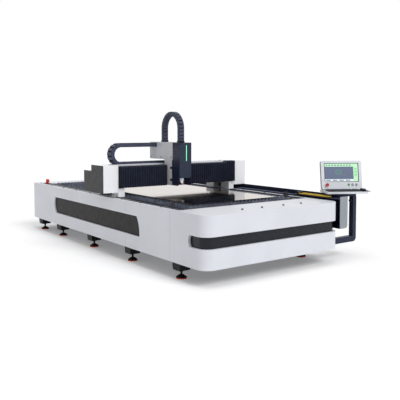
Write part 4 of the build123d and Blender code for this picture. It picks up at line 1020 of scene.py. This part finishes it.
def pleated_shield(node, fixed_x, moving_x, raised):
    """The whole shield from its fixed end to the carriage, in stretches."""
    low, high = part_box(node)
    top = high - upward * (collar_rise if raised else 0)
    run = moving_x - fixed_x
    folds = round(abs(run) / fold_pitch)
    done = 0
    index = 1
    while done < folds:
        collar = raised and done == 0
        count = min(collar_folds if collar else stretch_folds, folds - done)
        near, far = done / folds, (done + count) / folds
        x_near, x_far = fixed_x + run * near, fixed_x + run * far
        rise = collar_rise if collar else 0
        shape = cloth_stretch(min(x_near, x_far), max(x_near, x_far), count, low, top, rise)
        piece = finish_piece(f"{node}_{index}", shape, "bellows_fabric", smooth=False)
        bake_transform(piece)
        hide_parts(node)
        done += count
        index += 1
    print(node, "folds:", folds)


# %% Both shields
left_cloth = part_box("bellows_left")
right_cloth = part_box("bellows_right")
pleated_shield("bellows_left", left_cloth[0].x, left_cloth[1].x, False)
pleated_shield("bellows_right", right_cloth[1].x, right_cloth[0].x, True)

# %% Shield end frames
frame_sheet = 0.003
frame_edge = 0.0008
shape = bmesh.new()
low, high = left_cloth
add_block(shape, low, (low.x + frame_sheet, high.y, high.z), frame_edge)
low, high = right_cloth
add_block(shape, (high.x - frame_sheet, low.y, low.z), high, frame_edge)
finish_piece("shield_end_frames", shape, "black_steel", "gantry")
print("end frames of", frame_sheet * 1000, "mm sheet")

# %% [markdown]
# ## Carriage, head and beam details
# Screws hold the sheet covers, the head has a drawer for its lens and fittings for gas and water, and each
# drive's motor has a plug. These small things are on every such machine, and they tell the eye its size.

# %% Carriage
frame_low, frame_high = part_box("carriage_frame")
cover_screw = 0.006
cover_inset = 0.022
cover_corner = 0.03

shape = bmesh.new()
for x, along in left_and_right(carriage_low, carriage_high):
    for y in (carriage_low.y + cover_corner, middle_of("carriage_cover").y, carriage_high.y - cover_corner):
        add_screw(shape, (x, y, carriage_low.z + cover_inset), along, cover_screw)
finish_piece("carriage_cover_screws", shape, "black_steel", "carriage")

knob_low, knob_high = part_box("carriage_knobs")
knob_radius = (knob_high.y - knob_low.y) / 2
grip_sides = 18
grip_radius = 0.0016
grip_inset = 0.004
shape = bmesh.new()
for z in (knob_low.z + knob_radius, knob_high.z - knob_radius):
    for index in range(grip_sides):
        angle = 2 * math.pi * index / grip_sides
        y = middle_of("carriage_knobs").y + knob_radius * math.cos(angle)
        rise = z + knob_radius * math.sin(angle)
        add_bar(shape, (knob_low.x, y, rise), (knob_high.x - grip_inset, y, rise), grip_radius, sides=6)
finish_piece("knob_grips", shape, "black_plastic", "carriage")
print("grips on each knob:", grip_sides)

# %% Guard screws and the dark front between the guards
guard_low, guard_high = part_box("z_guards")
guard_screw = 0.004
guard_corner = 0.04
front_sheet = 0.0008
front_side_inset = 0.003
front_bottom_inset = 0.002
front_top_gap = 0.01

shape = bmesh.new()
for z in (guard_low.z + guard_corner, middle_of("z_guards").z, guard_high.z - guard_corner):
    for x, along in left_and_right(guard_low, guard_high):
        add_screw(shape, (x, guard_high.y - guard_screw, z), along, guard_screw)
finish_piece("guard_screws", shape, "black_steel", "carriage")

shape = bmesh.new()
bottom = frame_low.z + front_bottom_inset
add_block(shape, (frame_low.x + front_side_inset, carriage_low.y - front_sheet, bottom),
          (frame_high.x - front_side_inset, carriage_low.y, carriage_low.z - front_top_gap))
finish_piece("carriage_front_sheet", shape, "navy_paint", "carriage")
print("front sheet", round(frame_high.x - frame_low.x - 2 * front_side_inset, 3), "m wide")

# %% Hood
light_low, light_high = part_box("light_strip")
hood_screw = 0.005
hood_inset = 0.014
hood_corner = 0.03
rim = 0.003
rim_sheet = 0.001

shape = bmesh.new()
for x, along in left_and_right(hood_low, hood_high):
    for z in (hood_low.z + hood_corner, hood_high.z - hood_corner):
        for y in (hood_low.y + hood_corner, hood_high.y - hood_corner):
            add_screw(shape, (x, y, z), along, hood_screw)
for x in (hood_low.x + hood_inset, hood_high.x - hood_inset):
    for z in (hood_low.z + hood_inset, hood_high.z - hood_inset):
        add_screw(shape, (x, hood_low.y, z), (0, -1, 0), hood_screw)
finish_piece("hood_screws", shape, "black_steel", "head")

shape = bmesh.new()
for x in (light_low.x - rim, light_high.x):
    add_block(shape, (x, light_high.y - rim_sheet, light_low.z - rim),
              (x + rim, light_high.y, light_high.z + rim))
finish_piece("light_rim", shape, "black_plastic", "head")
print("light strip", round(light_high.z - light_low.z, 3), "m high")

# %% Lens drawer and fittings
body_low, body_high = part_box("cutting_head")
body_middle = middle_of("cutting_head")
drawer_rise = 0.066
drawer_height = 0.022
drawer_inset = 0.008
drawer_proud = 0.006
drawer_edge = 0.002
knob_proud = 0.022
knob_base, knob_tip = 0.008, 0.006
fitting_rises = (0.075, 0.115)
nut_reach, nut_radius = 0.012, 0.007
tube_reach, tube_radius = 0.022, 0.0045

shape = bmesh.new()
bottom = body_low.z + drawer_rise
drawer_front = body_low.y - drawer_proud
add_block(shape, (body_low.x + drawer_inset, drawer_front, bottom),
          (body_high.x - drawer_inset, body_low.y, bottom + drawer_height), drawer_edge)
knob_start = Vector((body_middle.x, drawer_front, bottom + drawer_height / 2))
knob_end = Vector((body_middle.x, body_low.y - knob_proud, knob_start.z))
add_bar(shape, knob_start, knob_end, knob_base, tip=knob_tip)
for x, side in ((body_low.x, -1), (body_high.x, 1)):
    for z in (body_low.z + rise for rise in fitting_rises):
        nut_end = (x + side * nut_reach, body_middle.y, z)
        add_bar(shape, (x, body_middle.y, z), nut_end, nut_radius, sides=6)
        add_bar(shape, nut_end, (x + side * tube_reach, body_middle.y, z), tube_radius, sides=12)
finish_piece("lens_drawer_and_fittings", shape, "gear_steel", "head")
print("fittings on the head:", 2 * len(fitting_rises))

# %% Beam and end covers
end_screw_inset = 0.028
side_screw, face_screw = 0.006, 0.005
flush = 0.0055
shape = bmesh.new()
for node, side in (("end_cover_left", -1), ("end_cover_right", 1)):
    low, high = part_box(node)
    outer_face = (low.x if side < 0 else high.x) - side * flush
    for y in (low.y + end_screw_inset, middle_of(node).y, high.y - end_screw_inset):
        add_screw(shape, (outer_face, y, low.z + end_screw_inset), (side, 0, 0), side_screw)
    for z in (low.z + end_screw_inset, high.z - end_screw_inset):
        for x in (low.x + end_screw_inset, high.x - end_screw_inset):
            add_screw(shape, (x, low.y, z), (0, -1, 0), face_screw)
finish_piece("end_cover_screws", shape, "cover_paint", "gantry")

beam_cover_low, beam_cover_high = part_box("beam_top_cover")
beam_cover_run = beam_cover_high.x - beam_cover_low.x
beam_screw = 0.004
beam_screw_inset = 0.03
beam_screws = 12
shape = bmesh.new()
for index in range(beam_screws):
    x = beam_cover_low.x + beam_cover_run * (index + 0.5) / beam_screws
    add_screw(shape, (x, beam_cover_low.y + beam_screw_inset, beam_cover_high.z), upward, beam_screw)
finish_piece("beam_cover_screws", shape, "ground_steel", "gantry")
print("screws along the beam:", beam_screws)

# %% Foot castings
feet_low, feet_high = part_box("gantry_feet")
foot_screw = 0.008
foot_screws_in = (0.04, 0.13)
foot_screws_up = (0.025, 0.06)
shape = bmesh.new()
for x, along in left_and_right(feet_low, feet_high):
    for y in [feet_low.y + way for way in foot_screws_in] + [feet_high.y - way for way in foot_screws_in]:
        for rise in foot_screws_up:
            add_screw(shape, (x, y, feet_low.z + rise), along, foot_screw)
finish_piece("foot_bolts", shape, "gear_steel", "gantry")
print("bolts on each foot:", 2 * len(foot_screws_in) * len(foot_screws_up))

# %% Motor plugs
drive_low, drive_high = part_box("y_drives")
motor_inset = 0.045
plug_half = 0.012
plug_reach = 0.03
plug_drop = (0.09, 0.05)
plug_edge = 0.004
lead_radius = 0.008
lead_reach = 0.018
lead_rise = 0.02
shape = bmesh.new()
for motor_x in (drive_low.x + motor_inset, drive_high.x - motor_inset):
    bottom, top = [drive_high.z - drop for drop in plug_drop]
    add_block(shape, (motor_x - plug_half, drive_high.y, bottom),
              (motor_x + plug_half, drive_high.y + plug_reach, top), plug_edge)
    y = drive_high.y + lead_reach
    add_bar(shape, (motor_x, y, top), (motor_x, y, top + lead_rise), lead_radius, sides=12)
finish_piece("motor_plugs", shape, "black_plastic", "gantry")
print("motor plugs done")

# %% [markdown]
# ## The operator's console
# The console leans back a little on a tray that turns on its post. Its display shows plain fields of
# colour with a simple outline, as drawing software does. To model it squarely, the pieces are built in the
# console's own turned frame, found from the direction in which its stop button moves. The display is one
# block cut by planes, so that each field is a face with a finish of its own.

# %% The console's frame
joints = {joint["name"]: joint for joint in frame["joints"]}
into = Vector(joints["stop_press"]["axis"]).normalized()
rightward = into.cross(upward).normalized()
lean_up = rightward.cross(into)
console_turn = Matrix((rightward, into, lean_up)).transposed().to_4x4()
level_turn = Matrix((rightward, upward.cross(rightward), upward)).transposed().to_4x4()


def turned_box(node, turn, above=-1.0):
    """The corners of a node in a turned frame, from the vertices above a height."""
    back = turn.inverted()
    points = [back @ v.co for v in nodes[node].data.vertices if v.co.z > above]
    low = Vector([min(p[axis] for p in points) for axis in range(3)])
    high = Vector([max(p[axis] for p in points) for axis in range(3)])
    return low, high


print("console turned by", round(math.degrees(math.atan2(rightward.y, rightward.x)), 1), "degrees")

# %% Display
screen_low, screen_high = turned_box("screen", console_turn)
screen_size = screen_high - screen_low
across_cuts = (0.018, 0.85, 0.982)
up_cuts = (0.03, 0.15, 0.81, 0.97)
front_depth = 0.001


def display_finish(across, up):
    """Which finish a place on the display has, by its share of the width and the height."""
    if across < across_cuts[0] or across > across_cuts[2] or up < up_cuts[0] or up > up_cuts[3]:
        return 0
    if up > up_cuts[2] or across > across_cuts[1]:
        return 2
    if up < up_cuts[1]:
        return 3
    return 1


shape = bmesh.new()
add_block(shape, screen_low, screen_high)
for axis, cuts in ((0, across_cuts), (2, up_cuts)):
    way = Vector((axis == 0, 0, axis == 2))
    for share in cuts:
        bmesh.ops.bisect_plane(shape, geom=shape.verts[:] + shape.edges[:] + shape.faces[:],
                               plane_co=screen_low + way * screen_size[axis] * share, plane_no=way)
for face in shape.faces:
    spot = face.calc_center_median() - screen_low
    if spot.y < front_depth:
        face.material_index = display_finish(spot.x / screen_size.x, spot.z / screen_size.z)
display = finish_piece("display", shape, ["screen_glass", "display_field", "display_bar", "display_panel"],
                       "console", console_turn, smooth=False)
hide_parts("screen")
print("display", [round(v, 3) for v in screen_size])

# %% Marks on the display
mark_proud = 0.0003
outline = ((0.34, 0.42, 0.16, 0.012), (0.34, 0.42, 0.006, 0.2), (0.49, 0.42, 0.006, 0.2),
           (0.34, 0.61, 0.156, 0.012), (0.40, 0.5, 0.04, 0.012), (0.56, 0.36, 0.05, 0.012))
side_marks = (6, 0.875, 0.3, 0, 0.08, 0.08, 0.03)
tool_fields = (9, 0.05, 0.86, 0.085, 0, 0.05, 0.05)
status_fields = (4, 0.05, 0.07, 0.19, 0, 0.13, 0.045)


def display_strip(shape, across, up, wide, high):
    """A thin flat strip on the display, placed by shares of its width and height."""
    low = Vector((screen_low.x + screen_size.x * across, screen_low.y - mark_proud,
                  screen_low.z + screen_size.z * up))
    add_block(shape, low, low + Vector((screen_size.x * wide, mark_proud, screen_size.z * high)))


def strip_row(shape, count, across, up, across_step, up_step, wide, high):
    """A row or a column of equal strips."""
    for index in range(count):
        display_strip(shape, across + across_step * index, up + up_step * index, wide, high)


shape = bmesh.new()
for strip in outline:
    display_strip(shape, *strip)
strip_row(shape, *side_marks)
finish_piece("display_lines", shape, "display_line", "console", console_turn, smooth=False)

shape = bmesh.new()
strip_row(shape, *tool_fields)
strip_row(shape, *status_fields)
finish_piece("display_buttons", shape, "display_field", "console", console_turn, smooth=False)
print("marks on the display:", len(outline) + side_marks[0] + tool_fields[0] + status_fields[0])

# %% [markdown]
# ## Keyboard and mouse
# The keyboard's caps are small tapered blocks in five rows, with a long space bar. The mouse starts as a
# cube, is divided and rounded, and gets a wheel. It rests on its pad, and all turn with the console.

# %% Keyboard
keys_low, keys_high = turned_box("keyboard", level_turn)
board_height = 0.014
board_edge = 0.003
key_columns = 19
key_rows = 5
free_column = 15
space_column = 4
space_columns = 6
key_border = 0.008
key_gap = 0.0022
key_taper = 0.78
key_rise = keys_high.z - keys_low.z - board_height


def add_key(shape, low, wide, deep):
    """One key cap with a smaller top."""
    low = Vector(low)
    size = Vector((wide, deep, key_rise))
    middle = low + size / 2
    made = bmesh.ops.create_cube(shape, size=1)["verts"]
    bmesh.ops.scale(shape, vec=size, verts=made)
    bmesh.ops.scale(shape, vec=(key_taper, key_taper, 1), verts=[v for v in made if v.co.z > 0])
    bmesh.ops.translate(shape, vec=middle, verts=made)


shape = bmesh.new()
board_top = keys_low.z + board_height
add_block(shape, keys_low, (keys_high.x, keys_high.y, board_top), board_edge)
pitch_x = (keys_high.x - keys_low.x - 2 * key_border) / key_columns
pitch_y = (keys_high.y - keys_low.y - 2 * key_border) / key_rows
for row in range(key_rows):
    column = 0
    while column < key_columns:
        columns = space_columns if row == 0 and column == space_column else 1
        x = keys_low.x + key_border + column * pitch_x + key_gap / 2
        y = keys_low.y + key_border + row * pitch_y + key_gap / 2
        if column != free_column:
            add_key(shape, (x, y, board_top), columns * pitch_x - key_gap, pitch_y - key_gap)
        column += columns
keyboard_piece = finish_piece("keyboard_with_keys", shape, "black_plastic", "console", level_turn,
                              smooth=False)
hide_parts("keyboard")
print("keyboard", round(keys_high.x - keys_low.x, 3), "m wide")

# %% Mouse and its pad
pad_low, pad_high = turned_box("mouse", level_turn)
pad_sheet = 0.003
pad_edge = 0.001
above_pad = 0.002
mouse_low, mouse_high = turned_box("mouse", level_turn, pad_low.z + pad_sheet + above_pad)
mouse_low.z = pad_low.z + pad_sheet
mouse_size = mouse_high - mouse_low
mouse_middle = (mouse_low + mouse_high) / 2
mouse_cuts = 7
roundness = 0.62
nose_drop = 0.35
sole_share = 0.92
wheel_radius = 0.010
wheel_half = 0.004
wheel_from_front = 0.026
wheel_from_top = 0.014

shape = bmesh.new()
bmesh.ops.create_cube(shape, size=1)
bmesh.ops.subdivide_edges(shape, edges=shape.edges[:], cuts=mouse_cuts, use_grid_fill=True)
for vert in shape.verts:
    vert.co = vert.co.lerp(vert.co.normalized() / 2, roundness)
reach = [max(abs(v.co[axis]) for v in shape.verts) for axis in range(3)]
for vert in shape.verts:
    x, y, z = [vert.co[axis] / reach[axis] for axis in range(3)]
    lift = 1 - nose_drop * (1 - y) / 2 if z > 0 else 1
    place = Vector((x, y, max(z, -sole_share) * lift))
    vert.co = place * mouse_size / 2 + mouse_middle
wheel_left, wheel_right = [Vector((mouse_middle.x + side * wheel_half, mouse_low.y + wheel_from_front,
                                   mouse_high.z - wheel_from_top)) for side in (-1, 1)]
add_bar(shape, wheel_left, wheel_right, wheel_radius, sides=14)
mouse_piece = finish_piece("mouse_body", shape, "black_plastic", "console", level_turn)
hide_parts("mouse")

shape = bmesh.new()
add_block(shape, pad_low, (pad_high.x, pad_high.y, pad_low.z + pad_sheet), pad_edge)
pad_piece = finish_piece("mouse_pad", shape, "bellows_fabric", "console", level_turn)
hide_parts("mouse")
print("mouse", [round(v, 3) for v in mouse_size])

# %% [markdown]
# ## Vents and rings
# The console's back has two groups of vents, made as thin dark strips because nothing shows through them.
# Each small button sits in a metal ring that covers its hole in the front sheet.

# %% Console vents and button rings
shell_low, shell_high = turned_box("console_shell", console_turn)
bezel_front = turned_box("console_bezel", console_turn)[0].y
vent_size = Vector((0.09, 0.001, 0.005))
vent_pitch = 0.014
vent_count = 9
vent_from_middle = 0.11
vent_from_top = 0.12
vent_sunk = 0.0004
ring_radius = 0.0165
ring_sides = 24
ring_back = 0.0045
ring_front = 0.0032

shape = bmesh.new()
vent_middle = (shell_low.x + shell_high.x) / 2
for side in (-1, 1):
    for index in range(vent_count):
        low = Vector((vent_middle + side * vent_from_middle - vent_size.x / 2, shell_high.y - vent_sunk,
                      shell_high.z - vent_from_top - index * vent_pitch))
        add_block(shape, low, low + vent_size)
finish_piece("console_vents", shape, "black_plastic", "console", console_turn)

shape = bmesh.new()
for node in ("push_button_left", "push_button_right", "key_switch"):
    low, high = turned_box(node, console_turn)
    x, z = (low.x + high.x) / 2, (low.z + high.z) / 2
    back, front = (x, bezel_front + ring_back, z), (x, bezel_front + ring_front, z)
    add_bar(shape, back, front, ring_radius, ring_sides)
finish_piece("button_rings", shape, "gear_steel", "console", console_turn)
print("vents on the console:", 2 * vent_count)
